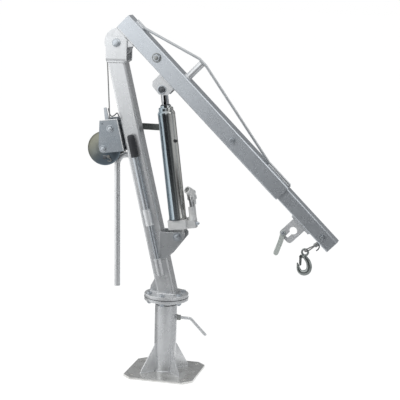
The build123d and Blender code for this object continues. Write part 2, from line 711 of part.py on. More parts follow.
def hook():
    x, z = hook_eye()
    top, side = (0.5, 0, -13), (BOWL_X + BOWL_R, 0, BOWL_Z)
    heel = (BOWL_X - BOWL_R * math.cos(BEAK_LEAN), 0, BOWL_Z - BOWL_R * math.sin(BEAK_LEAN))
    neck = TangentArc(side, top, tangent=(0, 0, 1))
    bowl = ThreePointArc(side, (BOWL_X, 0, BOWL_Z - BOWL_R), heel)
    beak = Pos(0, 0, BEAK / 2) * Cone(BOWL_WIRE_R, BEAK_END_R, BEAK)
    beak = fillet(beak.edges().group_by(Axis.Z)[-1], 3)
    beak = Plane(origin=heel, z_dir=(-math.sin(BEAK_LEAN), 0, math.cos(BEAK_LEAN))) * beak
    body = along(neck, BOWL_WIRE_R) + along(bowl, BOWL_WIRE_R) + beak
    body += Pos(0.5, 0, -14) * Sphere(8) + Rot(90, 0, 0) * Torus(EYE_R, EYE_WIRE_R)
    body += block(LATCH_X, 0, -BOSS_HALF, BOSS_HALF, LATCH_Z - BOSS_R, LATCH_Z + BOSS_R)
    body += rod(BOSS_R, -BOSS_HALF, BOSS_HALF, LATCH_X, LATCH_Z)
    body += rod(LATCH_PIN_R, -LATCH_OUT - 1, LATCH_OUT + 1, LATCH_X, LATCH_Z)
    return Pos(x, 0, z) * body


def hook_latch():
    x, z = hook_eye()
    left, right = [(-18.3, -21.8), (-18.3, -38), (-16.4, -47)], [(-11.6, -47), (-11.2, -21.8)]
    web = 1.4
    arm = plate(left + right, -LATCH_OUT, LATCH_OUT)
    arm -= plate([(a + web, b) for a, b in left] + [(0, -47), (0, -21.8)], -LATCH_IN, LATCH_IN)
    knuckle = rod(LATCH_OUT, LATCH_IN, LATCH_OUT, LATCH_X, LATCH_Z)
    knuckle += block(LATCH_X - 4.8, LATCH_X + 2.3, LATCH_IN, LATCH_OUT, -22.5, LATCH_Z)
    body = arm + knuckle + mirror(knuckle, Plane.XZ) - rod(LATCH_PIN_R + RUN, -9, 9, LATCH_X, LATCH_Z)
    return Pos(x, 0, z) * body


# Jack, in its own frame: x away from the mast, z up the cylinder from the lower pin

def jack_base():
    low, top = JACK_BASE_LOW, JACK_BASE_TOP
    body = block(-32, 34, -27, 27, low, top) + block(30, 65, -17, 17, low, top - 6)
    body = fillet(body.edges().filter_by(Axis.Z), 4)
    body += block(-15, 15, -14, 14, 0, low) + rod(15, -14, 14)
    body += Pos(PUMP_X, 0, top + 3) * Cone(16, PUMP_BARREL_R, 18)
    body += upright(PUMP_BARREL_R, top - 6, PUMP_BARREL_TOP, PUMP_X)
    post = block(-4, 4, PUMP_FULCRUM_Y - 7, PUMP_FULCRUM_Y, top - 6, PUMP_PIN_U)
    post += block(-4, 4, PUMP_FULCRUM_Y - 5, PUMP_FULCRUM_Y + 5, PUMP_BARREL_TOP + 6, PUMP_PIN_U)
    pin_axis = Pos(0, PUMP_FULCRUM_Y, PUMP_PIN_U) * Rot(0, 90, 0)
    body += PUMP * (post + pin_axis * Cylinder(5, 8) + pin_axis * Cylinder(3, 24))
    body -= rod(JACK_PIN_R + RUN, -30, 30) + upright(6 + RUN, 58, PUMP_BARREL_TOP + 10, PUMP_X)
    valve = Pos(57, VALVE_Y, VALVE_U) * Rot(0, 90, 0) * Cylinder(5 + RUN, 24)
    return JACK * (body - valve)


def jack_cylinder():
    tube = upright(JACK_R, JACK_BASE_TOP, JACK_TOP)
    tube = fillet(tube.edges().group_by(Axis.Z)[-1], 5)
    cap = upright(25.5, JACK_TOP - 1, JACK_CAP)
    cap = chamfer(cap.edges().group_by(Axis.Z)[-1], 2)
    gland = upright(19, JACK_CAP - 1, JACK_NECK)
    gland = chamfer(gland.edges().group_by(Axis.Z)[-1], 2)
    return JACK * (tube + cap + gland - upright(RAM_R + RUN, 66, 500))


def filler_plug():
    turn = math.radians(-35)
    out = (math.cos(turn), math.sin(turn), 0)
    ground = Plane(origin=(26 * out[0], 26 * out[1], 332), z_dir=out)
    return JACK * (extrude(ground * Circle(5.5), 9) - upright(JACK_R, 300, 360))


def jack_ram():
    bar = upright(RAM_R, 70, JACK_LENGTH - 8)
    eye = rod(15, -12, 12, 0, JACK_LENGTH)
    return JACK * (bar + eye)


def pump_socket():
    y, u = PUMP_FULCRUM_Y, PUMP_PIN_U
    axis = Pos(0, SOCKET_MOUTH_Y, SOCKET_MOUTH_U) * Rot(90 - SOCKET_RISE, 0, 0)
    tube = axis * Pos(0, 0, -SOCKET_LENGTH / 2) * Cylinder(SOCKET_R, SOCKET_LENGTH)
    hollow = axis * Pos(0, 0, -SOCKET_DEPTH / 2) * Cylinder(SOCKET_BORE_R, SOCKET_DEPTH)
    corners = [(y + 6, u - 4), (y + 6, u + 8), (8, u + 22), (-9, u + 20), (-7, u - 5)]
    side = Polyline(*[(0, wide, high) for wide, high in corners], close=True)
    cheek = Pos(4 + GAP, 0, 0) * extrude(make_face(side), amount=4, dir=(1, 0, 0))
    cheek += Pos(6 + GAP, y, u) * Rot(0, 90, 0) * Cylinder(6.5, 4)
    cheek += Pos(6 + GAP, 0, u) * Rot(0, 90, 0) * Cylinder(8, 4)
    cheeks = cheek + mirror(cheek, Plane.YZ)
    bore = Pos(0, y, u) * Rot(0, 90, 0) * Cylinder(3 + RUN, 60)
    bore += Pos(0, 0, u) * Rot(0, 90, 0) * Cylinder(4.6, 60)
    return JACK * PUMP * (tube + cheeks - bore - hollow)


def pump_plunger():
    low = PUMP_PIN_U - 14
    body = upright(6, 70, low)
    flat = block(-4, 4, -5, 5, low - 2, PUMP_PIN_U + 4)
    pin = Pos(0, 0, PUMP_PIN_U) * Rot(0, 90, 0) * Cylinder(3, 18)
    return JACK * PUMP * (body + flat + pin)


def release_valve():
    axis = Pos(0, VALVE_Y, VALVE_U) * Rot(0, 90, 0)
    stem = axis * Pos(0, 0, 58) * Cylinder(5, 20)
    knob = axis * Pos(0, 0, 69) * Cylinder(6.5, 6)
    return JACK * (stem + knob + axis * Pos(0, 0, 75) * Cone(6.5, 2.5, 6))


# Stored pump handle

def handle_rod():
    slim = upright(7.5, HANDLE_LOW, HANDLE_STEP, 0, HANDLE_Y)
    return MAST * (slim + upright(10, HANDLE_STEP, HANDLE_TOP - 14, 0, HANDLE_Y))


def handle_grip():
    body = upright(13.2, HANDLE_TOP - 79, HANDLE_TOP, 0, HANDLE_Y)
    body = fillet(body.edges().group_by(Axis.Z)[-1], 6)
    return MAST * (body - upright(10, HANDLE_TOP - 90, HANDLE_TOP - 14, 0, HANDLE_Y))


PIECES = {
    "base_plate": base_plate,
    "base_column": base_column,
    "base_gussets": base_gussets,
    "lock_nut": lock_nut,
    "lock_screw": lock_screw,
    "swivel_spindle": swivel_spindle,
    "mast_flange": mast_flange,
    "flange_bolts": flange_bolts,
    "mast_tube": mast_tube,
    "mast_rib": mast_rib,
    "mast_yoke": mast_yoke,
    "pivot_pin": pivot_pin,
    "mast_sheave": mast_sheave,
    "jack_bracket": jack_bracket,
    "jack_lower_pin": jack_lower_pin,
    "handle_sleeve_upper": lambda: handle_sleeve(254, 311),
    "handle_sleeve_lower": lambda: handle_sleeve(74, 133),
    "slewing_handle": slewing_handle,
    "winch_frame": winch_frame,
    "winch_drum_shaft": winch_drum_shaft,
    "winch_drum": winch_drum,
    "winch_gear": winch_gear,
    "crank_shaft": crank_shaft,
    "ratchet_wheel": ratchet_wheel,
    "crank_arm": crank_arm,
    "crank_grip": crank_grip,
    "winch_pawl": winch_pawl,
    "rope_winding": rope_winding,
    "rope_lower": rope_lower,
    "boom_tube": boom_tube,
    "boom_ears": boom_ears,
    "boom_lugs": boom_lugs,
    "lug_bolt": lug_bolt,
    "truss_rod": truss_rod,
    "truss_strut": truss_strut,
    "guide_axle": guide_axle,
    "guide_roller": guide_roller,
    "clamp_screw": clamp_screw,
    "rope_boom": rope_boom,
    "inner_tube": inner_tube,
    "tip_axle": tip_axle,
    "tip_sheave": tip_sheave,
    "keyhole_strip": keyhole_strip,
    "keyhole_plate": keyhole_plate,
    "keeper_bolt": keeper_bolt,
    "keeper_lever": keeper_lever,
    "rope_tip": rope_tip,
    "rope_ferrule": rope_ferrule,
    "rope_eye": rope_eye,
    "hook": hook,
    "hook_latch": hook_latch,
    "jack_base": jack_base,
    "jack_cylinder": jack_cylinder,
    "filler_plug": filler_plug,
    "jack_ram": jack_ram,
    "pump_socket": pump_socket,
    "pump_plunger": pump_plunger,
    "release_valve": release_valve,
    "handle_rod": handle_rod,
    "handle_grip": handle_grip,
}

os.makedirs("parts", exist_ok=True)
for name, make in PIECES.items():
    export_step(make(), f"parts/{name}.step")
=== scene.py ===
# %% [markdown]
# This scene dresses a small truck jib crane. A bolted base carries a leaning mast
# that swivels on it, and the mast carries a telescopic boom, a hand-pumped jack that
# lifts the boom, a winch, a wire rope and a hook. The solids arrive as a fixed frame,
# each one already in its place, so nothing here moves them. What is added is what a
# drawing leaves out: finishes, weld beads, the lay of the rope and the worked shapes
# of the small parts.

# %% Load the frame
import json
import math

import bmesh
import bpy
from mathutils import Matrix, Vector

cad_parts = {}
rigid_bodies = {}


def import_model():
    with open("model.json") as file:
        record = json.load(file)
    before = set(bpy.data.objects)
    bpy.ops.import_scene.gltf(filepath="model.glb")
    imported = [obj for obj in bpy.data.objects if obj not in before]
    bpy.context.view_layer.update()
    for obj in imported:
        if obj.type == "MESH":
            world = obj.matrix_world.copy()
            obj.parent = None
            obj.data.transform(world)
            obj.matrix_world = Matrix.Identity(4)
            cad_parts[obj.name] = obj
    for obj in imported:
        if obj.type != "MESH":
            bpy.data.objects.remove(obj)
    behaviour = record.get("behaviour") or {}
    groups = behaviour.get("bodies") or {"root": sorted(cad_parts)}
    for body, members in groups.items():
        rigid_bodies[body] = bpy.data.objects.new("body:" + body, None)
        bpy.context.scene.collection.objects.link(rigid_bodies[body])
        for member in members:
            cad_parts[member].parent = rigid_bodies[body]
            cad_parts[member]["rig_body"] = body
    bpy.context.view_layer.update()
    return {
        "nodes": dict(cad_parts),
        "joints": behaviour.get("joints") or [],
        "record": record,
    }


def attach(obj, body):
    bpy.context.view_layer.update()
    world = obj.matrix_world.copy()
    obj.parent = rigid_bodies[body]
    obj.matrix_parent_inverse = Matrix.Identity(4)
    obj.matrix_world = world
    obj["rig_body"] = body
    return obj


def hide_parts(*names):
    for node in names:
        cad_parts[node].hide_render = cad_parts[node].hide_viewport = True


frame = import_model()
nodes = frame["nodes"]
scene = bpy.context.scene
scene.view_settings.view_transform = "Standard"

# %% [markdown]
# The crane leans in three directions at once: the mast leans back, the boom slopes
# down and the jack stands between them. Pieces are easier to draw in the frame of the
# thing that carries them, so each of the three gets a matrix, worked out from the
# joints that the frame declares. The drawing is done in millimetres, and a finished
# piece is scaled to metres once, when it becomes a mesh.

# %% Frames of the mast, the boom and the jack
MM = 0.001
MAST_FOOT = Vector((6, 0, 291))
joints = {joint["name"]: joint for joint in frame["joints"]}


def place_of(joint):
    return Vector(joints[joint]["pos_m"]) / MM


def leaning_frame(origin, x_axis):
    """A matrix at origin with this X axis, world Y as its Y axis and Z square to both."""
    across = Vector(x_axis).normalized()
    wide = Vector((0, 1, 0))
    rise = across.cross(wide)
    turn = Matrix((across, wide, rise)).transposed().to_4x4()
    return Matrix.Translation(Vector(origin)) @ turn


def beside(up_axis):
    """The direction square to an upward axis, in the plane of the crane."""
    return Vector((0, 1, 0)).cross(Vector(up_axis))


WORLD = Matrix.Identity(4)
BOOM = leaning_frame(place_of("boom_lift"), joints["boom_extend"]["axis"])
MAST = leaning_frame(MAST_FOOT, beside(joints["handle_lift"]["axis"]))
JACK = leaning_frame(place_of("jack_tilt"), beside(joints["ram_extend"]["axis"]))
print("boom frame at", BOOM.translation[:], "jack frame at", JACK.translation[:])

# %% [markdown]
# The camera stands where the photographer stood: well back with a long lens, a little
# to the right of the crane and a little above it, tilted by a degree or two.

# %% Camera
PHOTO_AZIMUTH = math.radians(13.07)
PHOTO_ELEVATION = math.radians(10.50)
PHOTO_ROLL = math.radians(1.66)
PHOTO_DISTANCE = 4.661
PHOTO_TARGET = Vector((0.11195, 0, 0.63181))
PHOTO_LENS, PHOTO_SENSOR = 120.8, 36.0
data = bpy.data.cameras.new("photo_camera")
data.lens = PHOTO_LENS
data.sensor_width = PHOTO_SENSOR
camera = bpy.data.objects.new("photo_camera", data)
level = math.cos(PHOTO_ELEVATION)
right, towards = math.sin(PHOTO_AZIMUTH) * level, -math.cos(PHOTO_AZIMUTH) * level
back = Vector((right, towards, math.sin(PHOTO_ELEVATION)))
aim = (-back).to_track_quat("-Z", "Y").to_matrix() @ Matrix.Rotation(PHOTO_ROLL, 3, "Z")
camera.matrix_world = Matrix.Translation(PHOTO_TARGET + back * PHOTO_DISTANCE) @ aim.to_4x4()
scene.collection.objects.link(camera)
scene.camera = camera
print("camera at", camera.matrix_world.translation[:])

# %% [markdown]
# A shader tree is a small graph, and most of its lines only make a node and set its
# sockets. A few helpers keep the finishes below readable: one sets what is named, by a
# link or by a value, and the others make the noises, ramps and mixes that come back often.

# %% Shader helpers


def set_sockets(tree, node, **values):
    """Links a named socket to an output or gives it a value; any other name is a property."""
    for name, value in values.items():
        socket = node.inputs.get(name.replace("_", " "))
        if socket is None:
            setattr(node, name, value)
        elif isinstance(value, bpy.types.NodeSocket):
            tree.links.new(value, socket)
        else:
            socket.default_value = value
    return node


def add_node(tree, kind, **values):
    return set_sockets(tree, tree.nodes.new(kind), **values)


def start_material(name):
    material = bpy.data.materials.new(name + "_finish")
    material.use_nodes = True
    return material, material.node_tree, material.node_tree.nodes["Principled BSDF"]


def start_finish(name):
    """A material with its tree, its shader and the coordinates of the piece."""
    material, tree, shader = start_material(name)
    return material, tree, shader, add_node(tree, "ShaderNodeTexCoord").outputs["Object"]


def noise(tree, place, scale, detail=3.0, rough=0.5):
    node = add_node(tree, "ShaderNodeTexNoise", Vector=place, Scale=scale, Detail=detail, Roughness=rough)
    return node.outputs["Fac"]


def stretched(tree, place, scale):
    """Coordinates scaled along each axis, so that a noise on them runs in streaks."""
    return add_node(tree, "ShaderNodeMapping", Vector=place, Scale=scale).outputs["Vector"]


def ramp(tree, value, low, high, start=0.0, end=1.0):
    """Maps a value between start and end to a number between low and high."""
    limits = {"From_Min": start, "From_Max": end, "To_Min": low, "To_Max": high}
    return add_node(tree, "ShaderNodeMapRange", Value=value, **limits).outputs["Result"]


def across_piece(tree, place, direction, start, end):
    """Zero at the start and one at the end, both distances along the direction in metres."""
    across = add_node(tree, "ShaderNodeVectorMath", operation="DOT_PRODUCT")
    tree.links.new(place, across.inputs[0])
    across.inputs[1].default_value = direction
    return ramp(tree, across.outputs["Value"], 0.0, 1.0, start, end)


def blend_colours(tree, share, first, second):
    """Mixes two colours, each of them three numbers or another node's output."""
    ends = [(*colour, 1.0) if isinstance(colour, tuple) else colour for colour in (first, second)]
    node = add_node(tree, "ShaderNodeMix", data_type="RGBA", Factor=share, A=ends[0], B=ends[1])
    return node.outputs["Result"]


def roughen(tree, shader, height, strength, depth=MM):
    bump = add_node(tree, "ShaderNodeBump", Height=height, Strength=strength, Distance=depth)
    set_sockets(tree, shader, Normal=bump.outputs["Normal"])


# %% [markdown]
# Hot-dip galvanising leaves a skin of zinc crystals, the spangle, each dulled a little
# differently, over broader clouds where the bath drained and a few dark specks of ash.
# Cells of about a centimetre vary the colour and the gloss, a slow noise adds the
# clouds, a noise stretched along Z adds the drained streaks, and a fine one gives a
# slight orange peel. The finish has a middle grey of its own for each kind of piece,
# and some of these greys are painted light or painted shade.

# %% Galvanised steel
SPANGLE_SCALE, CLOUD_SCALE, STAIN_SCALE, ASH_SCALE, PEEL_SCALE = 110.0, 9.0, 26.0, 75.0, 110.0
STREAK_SCALE = (70, 70, 5)
SPANGLE_SHADES, SPANGLE_GLOSS = (0.975, 1.02), (0.27, 0.30)
CLOUD_SHADE, STREAK_SHADE, ASH_SHADE, ASH_SHARE = 1.07, 0.86, 0.55, 0.5
CLOUD_RANGE, STREAK_RANGE, STAIN_RANGE, ASH_RANGE = (0.35, 0.7), (0.5, 0.8), (0.5, 0.7), (0.72, 0.82)
STAIN_BROWN = (0.40, 0.385, 0.36)
PEEL_BUMP = 0.006


def shaded(colour, share):
    return tuple(channel * share for channel in colour)


def galvanised_finish(name, grey, metal=0.74, streaks=0.5, stains=0.0):
    """Zinc skin round a middle grey; less metal makes it paler and duller."""
    material, tree, shader, place = start_finish(name)
    spangle = add_node(tree, "ShaderNodeTexVoronoi", Vector=place, Scale=SPANGLE_SCALE)
    cell = add_node(tree, "ShaderNodeSeparateColor", Color=spangle.outputs["Color"])
    skin = blend_colours(tree, cell.outputs["Red"], *(shaded(grey, share) for share in SPANGLE_SHADES))
    clouds = ramp(tree, noise(tree, place, CLOUD_SCALE, 4.0, 0.6), 0.0, 1.0, *CLOUD_RANGE)
    skin = blend_colours(tree, clouds, skin, shaded(grey, CLOUD_SHADE))
    drained = noise(tree, stretched(tree, place, STREAK_SCALE), 1.0, 3.0, 0.6)
    drained = ramp(tree, drained, 0.0, streaks, *STREAK_RANGE)
    skin = blend_colours(tree, drained, skin, shaded(grey, STREAK_SHADE))
    if stains:
        marks = ramp(tree, noise(tree, place, STAIN_SCALE, 5.0, 0.65), 0.0, stains, *STAIN_RANGE)
        skin = blend_colours(tree, marks, skin, STAIN_BROWN)
    ash = ramp(tree, noise(tree, place, ASH_SCALE, 2.0, 0.5), 0.0, ASH_SHARE, *ASH_RANGE)
    skin = blend_colours(tree, ash, skin, shaded(grey, ASH_SHADE))
    gloss = ramp(tree, cell.outputs["Green"], *SPANGLE_GLOSS)
    set_sockets(tree, shader, Base_Color=skin, Roughness=gloss, Metallic=metal)
    roughen(tree, shader, noise(tree, place, PEEL_SCALE, 2.0), PEEL_BUMP)
    return material


# %% [markdown]
# The bought-in pieces, such as the winch, the bolts and the jack, are zinc plated
# instead: brighter, bluer and smoother, with faint marks from handling. The tint lies in
# clouds, or drifts from one side of a piece to the other as it does on the jack, where
# the paler, warmer right side is painted reflection.

# %% Plated and polished metals
TINT_SCALE = 22.0
MIDDLE = (0.3, 0.7)


def plated_finish(name, dark, light, gloss, metal=1.0, grain=60.0, bump=0.02, across=None):
    """Plating that drifts between two tints and two roughnesses."""
    material, tree, shader, place = start_finish(name)
    if across:
        share = across_piece(tree, place, *across)
    else:
        share = ramp(tree, noise(tree, place, TINT_SCALE, 4.0, 0.6), 0.0, 1.0, *MIDDLE)
    tint = blend_colours(tree, share, dark, light)
    marks = noise(tree, place, grain, 3.0)
    set_sockets(tree, shader, Base_Color=tint, Roughness=ramp(tree, marks, *gloss, *MIDDLE), Metallic=metal)
    roughen(tree, shader, marks, bump)
    return material


# %% [markdown]
# The winch drum is spun in a lathe, which leaves fine rings. Rings spread a reflection
# across themselves, so light and dark lie on the disc like the blades of a fan. The
# shader's own anisotropy does this, given a direction that runs round the axis. The
# yellow tint of the plating fades to a darker blue across the disc, and the paler
# yellow towards the disc's upper left, as it stands, is painted light.

# %% Spun metal
# The drum's tint grows paler and yellower towards the upper left: painted light.
DISC_LIGHT_SLANT = Vector((-0.7, 0, 0.7))
DISC_DRIFT = (-0.02, 0.05)
LATHE_SCALE, LATHE_BUMP = 40.0, 0.02
QUARTER_TURN = 0.25


def spun_finish(name, centre, blue, yellow, gloss, rings):
    material, tree, shader, place = start_finish(name)
    start, end = (DISC_LIGHT_SLANT.dot(centre) + reach for reach in DISC_DRIFT)
    tint = blend_colours(tree, across_piece(tree, place, DISC_LIGHT_SLANT, start, end), blue, yellow)
    marks = noise(tree, place, LATHE_SCALE, 4.0, 0.6)
    roughness = ramp(tree, marks, *gloss, *MIDDLE)
    round_axis = add_node(tree, "ShaderNodeTangent", direction_type="RADIAL", axis="Y").outputs["Tangent"]
    set_sockets(tree, shader, Base_Color=tint, Roughness=roughness, Metallic=1.0)
    set_sockets(tree, shader, Anisotropic=rings, Anisotropic_Rotation=QUARTER_TURN, Tangent=round_axis)
    roughen(tree, shader, marks, LATHE_BUMP)
    return material


# %% [markdown]
# Rubber and plastic are not metal at all: a dark base colour, a broad dull gloss and a
# fine moulded grain.

# %% Rubber and plastic
SPECKLE_GAIN, SPECKLE_LIFT, SPECKLE_GLOSS = 1.8, 0.01, 0.08
GRAIN_BUMP, GRAIN_DEPTH = 0.15, 0.5 * MM


def moulded_finish(name, colour, rough, grain):
    material, tree, shader, place = start_finish(name)
    speckle = noise(tree, place, grain, 3.0)
    lighter = tuple(channel * SPECKLE_GAIN + SPECKLE_LIFT for channel in colour)
    tint = blend_colours(tree, speckle, colour, lighter)
    gloss = ramp(tree, speckle, rough - SPECKLE_GLOSS, rough + SPECKLE_GLOSS)
    set_sockets(tree, shader, Base_Color=tint, Roughness=gloss)
    roughen(tree, shader, speckle, GRAIN_BUMP, GRAIN_DEPTH)
    return material


# %% [markdown]
# Every solid has a slot, and every slot has the finish of that name. Some pieces of one
# slot are given another finish by name: a stained grey for the base plate, a bluer one
# for the boom and paler or darker copies for others. The darker greys of the jack's
# bracket, the truss rod, the mast's sheave and the crank arm are painted shade, and the
# paler greys of the handle's upper sleeve, the lock screw and the keeper are painted
# light. A plated row gives the two tints and the two roughnesses, and then what differs
# from the usual plating.

# %% Finishes of the pieces
DRUM_CENTRE = place_of("drum_turn") * MM
JACK_SIDE = JACK.col[0].to_3d()
JACK_MIDDLE = JACK_SIDE.dot(JACK.translation) * MM
# The jack's tint runs from blue at its left to a paler beige at its right: painted reflection.
JACK_SHEEN_DRIFT = (JACK_SIDE, JACK_MIDDLE - 0.012, JACK_MIDDLE + 0.02)
GALVANISED = {
    "galvanised": {"grey": (0.695, 0.705, 0.714)},
    "galvanised_boom": {"grey": (0.584, 0.616, 0.650), "streaks": 0.2},
    "galvanised_plate": {"grey": (0.680, 0.680, 0.665), "streaks": 0.0, "stains": 0.5},
    # A paler, less metallic grey, painted light, for the handle's upper sleeve and the lock screw.
    "galvanised_lit": {"grey": (0.720, 0.732, 0.742), "metal": 0.55},
    "galvanised_matt": {"grey": (0.660, 0.670, 0.680), "metal": 0.5},
    # A darker grey, painted shade, for the jack's bracket and the truss rod.
    "galvanised_shaded": {"grey": (0.490, 0.505, 0.517)},
}
PLATED = {
    "winch_plate": ((0.34, 0.38, 0.415), (0.41, 0.44, 0.47), (0.22, 0.30), 0.85),
    "zinc_plated": ((0.50, 0.54, 0.58), (0.58, 0.61, 0.64), (0.22, 0.30), 0.85),
    "yellow_zinc": ((0.25, 0.26, 0.30), (0.38, 0.36, 0.27), (0.22, 0.30)),
    # Paler, less metallic zinc for the keeper, painted light.
    "pale_lit_zinc": ((0.50, 0.54, 0.51), (0.62, 0.65, 0.62), (0.30, 0.42), 0.45),
    # Dark plating for the crank arm, painted shade for the mast's shadow that it lies in.
    "shaded_plating": ((0.17, 0.185, 0.18), (0.25, 0.265, 0.26), (0.25, 0.35)),
    "dark_bolt": ((0.10, 0.105, 0.115), (0.20, 0.21, 0.22), (0.28, 0.40)),
    "hook_steel": ((0.37, 0.40, 0.39), (0.50, 0.53, 0.52), (0.22, 0.34)),
    "jack_plating": ((0.39, 0.47, 0.52), (0.49, 0.49, 0.47), (0.17, 0.21), 0.97, 12.0, 0.02, JACK_SHEEN_DRIFT),
    "jack_casting": ((0.56, 0.57, 0.57), (0.70, 0.70, 0.69), (0.34, 0.46), 0.4, 90.0, 0.15),
    "chromed_rod": ((0.50, 0.51, 0.53), (0.56, 0.57, 0.58), (0.05, 0.08), 1.0, 20.0),
    "wire_rope": ((0.30, 0.30, 0.30), (0.44, 0.44, 0.43), (0.30, 0.42)),
    "ferrule_metal": ((0.30, 0.31, 0.31), (0.42, 0.43, 0.42), (0.28, 0.40)),
}
FINISHES = {name: galvanised_finish(name, **look) for name, look in GALVANISED.items()}
FINISHES.update({name: plated_finish(name, *look) for name, look in PLATED.items()})
FINISHES["spun_zinc"] = spun_finish(
    "spun_zinc", DRUM_CENTRE, (0.145, 0.18, 0.21), (0.33, 0.33, 0.265), (0.30, 0.38), 0.9
)
FINISHES["black_rubber"] = moulded_finish("black_rubber", (0.012, 0.013, 0.016), 0.55, 260.0)
FINISHES["black_plastic"] = moulded_finish("black_plastic", (0.012, 0.012, 0.013), 0.42, 320.0)
LOOKS = {
    "boom_tube": "galvanised_boom", "inner_tube": "galvanised_boom", "keyhole_strip": "galvanised_boom",
    # The handle's upper sleeve and the lock screw wear the paler grey, painted light.
    "base_plate": "galvanised_plate", "handle_sleeve_upper": "galvanised_lit",
    # The mast's sheave wears the matt grey, which darkens it as painted shade in the yoke's hollow.
    "lock_screw": "galvanised_lit", "keyhole_plate": "galvanised_matt", "mast_sheave": "galvanised_matt",
    # The jack's bracket and the truss rod wear the darker grey, painted shade.
    "jack_bracket": "galvanised_shaded", "truss_rod": "galvanised_shaded", "pump_socket": "jack_casting",
    # The crank arm wears the dark plating, painted shade.
    "winch_frame": "winch_plate", "lock_nut": "ferrule_metal", "crank_arm": "shaded_plating",
}
slot_of = {entry["node"]: entry["material_slot"] for entry in frame["record"]["subparts"]}
for name, slot in slot_of.items():
    materials = nodes[name].data.materials
    materials.clear()
    materials.append(FINISHES[LOOKS.get(name, slot)])
print("finishes", len(FINISHES))

# %% [markdown]
# Most added pieces are one of four shapes: a round bar along a line, a shaped bar whose
# section changes, an outline spun round an axis, or a solid of the frame with its edges
# eased. Each has a helper here. Round bars come from a curve with a bevel, which is
# quick for the many strands and beads. A shaped bar starts as one ring of edges, which
# is extruded and moved from place to place, so that it can swell and flatten.

# %% Mesh helpers
SHARP, FLAT = math.radians(32), math.radians(0.3)
MERGE = 0.002


def spot(base, point, axis=(0, 0, 1)):
    """A place in a frame, with its own Z axis along axis."""
    aim = Vector(axis).to_track_quat("Z", "Y").to_matrix().to_4x4()
    return base @ Matrix.Translation(point) @ aim


def along_line(points, side=(0, 1, 0)):
    """Places along a line: Z runs along it, and X starts out towards side and twists no more than it must."""
    places = []
    turn = None
    for i, point in enumerate(points):
        ahead = (points[min(i + 1, len(points) - 1)] - points[max(i - 1, 0)]).normalized()
        if turn is None:
            across = (Vector(side) - ahead * ahead.dot(Vector(side))).normalized()
            turn = Matrix((across, ahead.cross(across), ahead)).transposed().to_quaternion()
        else:
            turn = (turn @ Vector((0, 0, 1))).rotation_difference(ahead) @ turn
        places.append(Matrix.Translation(point) @ turn.to_matrix().to_4x4())
    return places


def spaced(line, step):
    """Points along a line at even steps, its two ends among them."""
    lengths = [0.0]
    for a, b in zip(line, line[1:]):
        lengths.append(lengths[-1] + (b - a).length)
    count = max(2, round(lengths[-1] / step))
    points = []
    k = 0
    for i in range(count + 1):
        goal = lengths[-1] * i / count
        while k < len(line) - 2 and lengths[k + 1] < goal:
            k += 1
        points.append(line[k].lerp(line[k + 1], (goal - lengths[k]) / (lengths[k + 1] - lengths[k])))
    return points


def line_length(line):
    return sum((b - a).length for a, b in zip(line, line[1:]))


def circle(radius, count):
    """Points round a circle, the first of them once more at the end."""
    angles = [2 * math.pi * i / count for i in range(count + 1)]
    return [(radius * math.cos(a), radius * math.sin(a)) for a in angles]


def ring_outline(radius, wire, count=12):
    """The round section of a ring, to be spun."""
    return [(radius + out, up) for out, up in circle(wire, count)]


def add_spline(data, kind, points):
    spline = data.splines.new(kind)
    spline.points.add(len(points) - 1)
    for knot, point in zip(spline.points, points):
        knot.co = (*point, 1.0)
    return spline


def curve_to_mesh(data):
    """The mesh that a curve makes; the curve itself is thrown away."""
    holder = bpy.data.objects.new("holder", data)
    mesh = bpy.data.meshes.new_from_object(holder)
    bpy.data.objects.remove(holder)
    bpy.data.curves.remove(data)
    return mesh


def smooth_line(points):
    """A closely stepped line along the NURBS curve that has these points as its control points."""
    data = bpy.data.curves.new("route", "CURVE")
    data.dimensions = "3D"
    spline = add_spline(data, "NURBS", points)
    spline.order_u = 3
    spline.use_endpoint_u = True
    spline.resolution_u = 24
    mesh = curve_to_mesh(data)
    line = [vert.co.copy() for vert in mesh.vertices]
    bpy.data.meshes.remove(mesh)
    return line


def draw_rods(bm, lines, size, rounding=1):
    """Round bars along lines; size is their radius, or a list of radii for the points of a line."""
    data = bpy.data.curves.new("rods", "CURVE")
    data.dimensions = "3D"
    data.bevel_depth = 1.0
    data.bevel_resolution = rounding
    data.use_fill_caps = True
    for line in lines:
        radii = size if isinstance(size, list) else [size] * len(line)
        for knot, radius in zip(add_spline(data, "POLY", line).points, radii):
            knot.radius = radius
    mesh = curve_to_mesh(data)
    bm.from_mesh(mesh)
    bpy.data.meshes.remove(mesh)


def draw_bar(bm, places, sizes, sides=12):
    """A closed bar through these places; a size is the half width along X and along Y of its oval section."""
    shaped = [place @ Matrix.Diagonal((*size, 1, 1)) for place, size in zip(places, sizes)]
    verts = bmesh.ops.create_circle(bm, cap_ends=True, segments=sides, radius=1.0, matrix=shaped[0])["verts"]
    edges = list({edge for vert in verts for edge in vert.link_edges})
    for before, after in zip(shaped, shaped[1:]):
        made = bmesh.ops.extrude_edge_only(bm, edges=edges)["geom"]
        verts = [item for item in made if isinstance(item, bmesh.types.BMVert)]
        new = set(verts)
        edges = [item for item in made if isinstance(item, bmesh.types.BMEdge) and new.issuperset(item.verts)]
        bmesh.ops.transform(bm, matrix=after @ before.inverted(), verts=verts)
    bmesh.ops.contextual_create(bm, geom=edges)


def draw_turned(bm, place, outline, steps=40):
    """Spins an outline of (radius, height) points round the Z axis of a place."""
    verts = [bm.verts.new(place @ Vector((radius, 0, height))) for radius, height in outline]
    edges = [bm.edges.new(ends) for ends in zip(verts, verts[1:])]
    axis = place.to_3x3() @ Vector((0, 0, 1))
    bmesh.ops.spin(
        bm, geom=verts + edges, cent=place.translation, axis=axis, angle=2 * math.pi, steps=steps,
        use_merge=True
    )


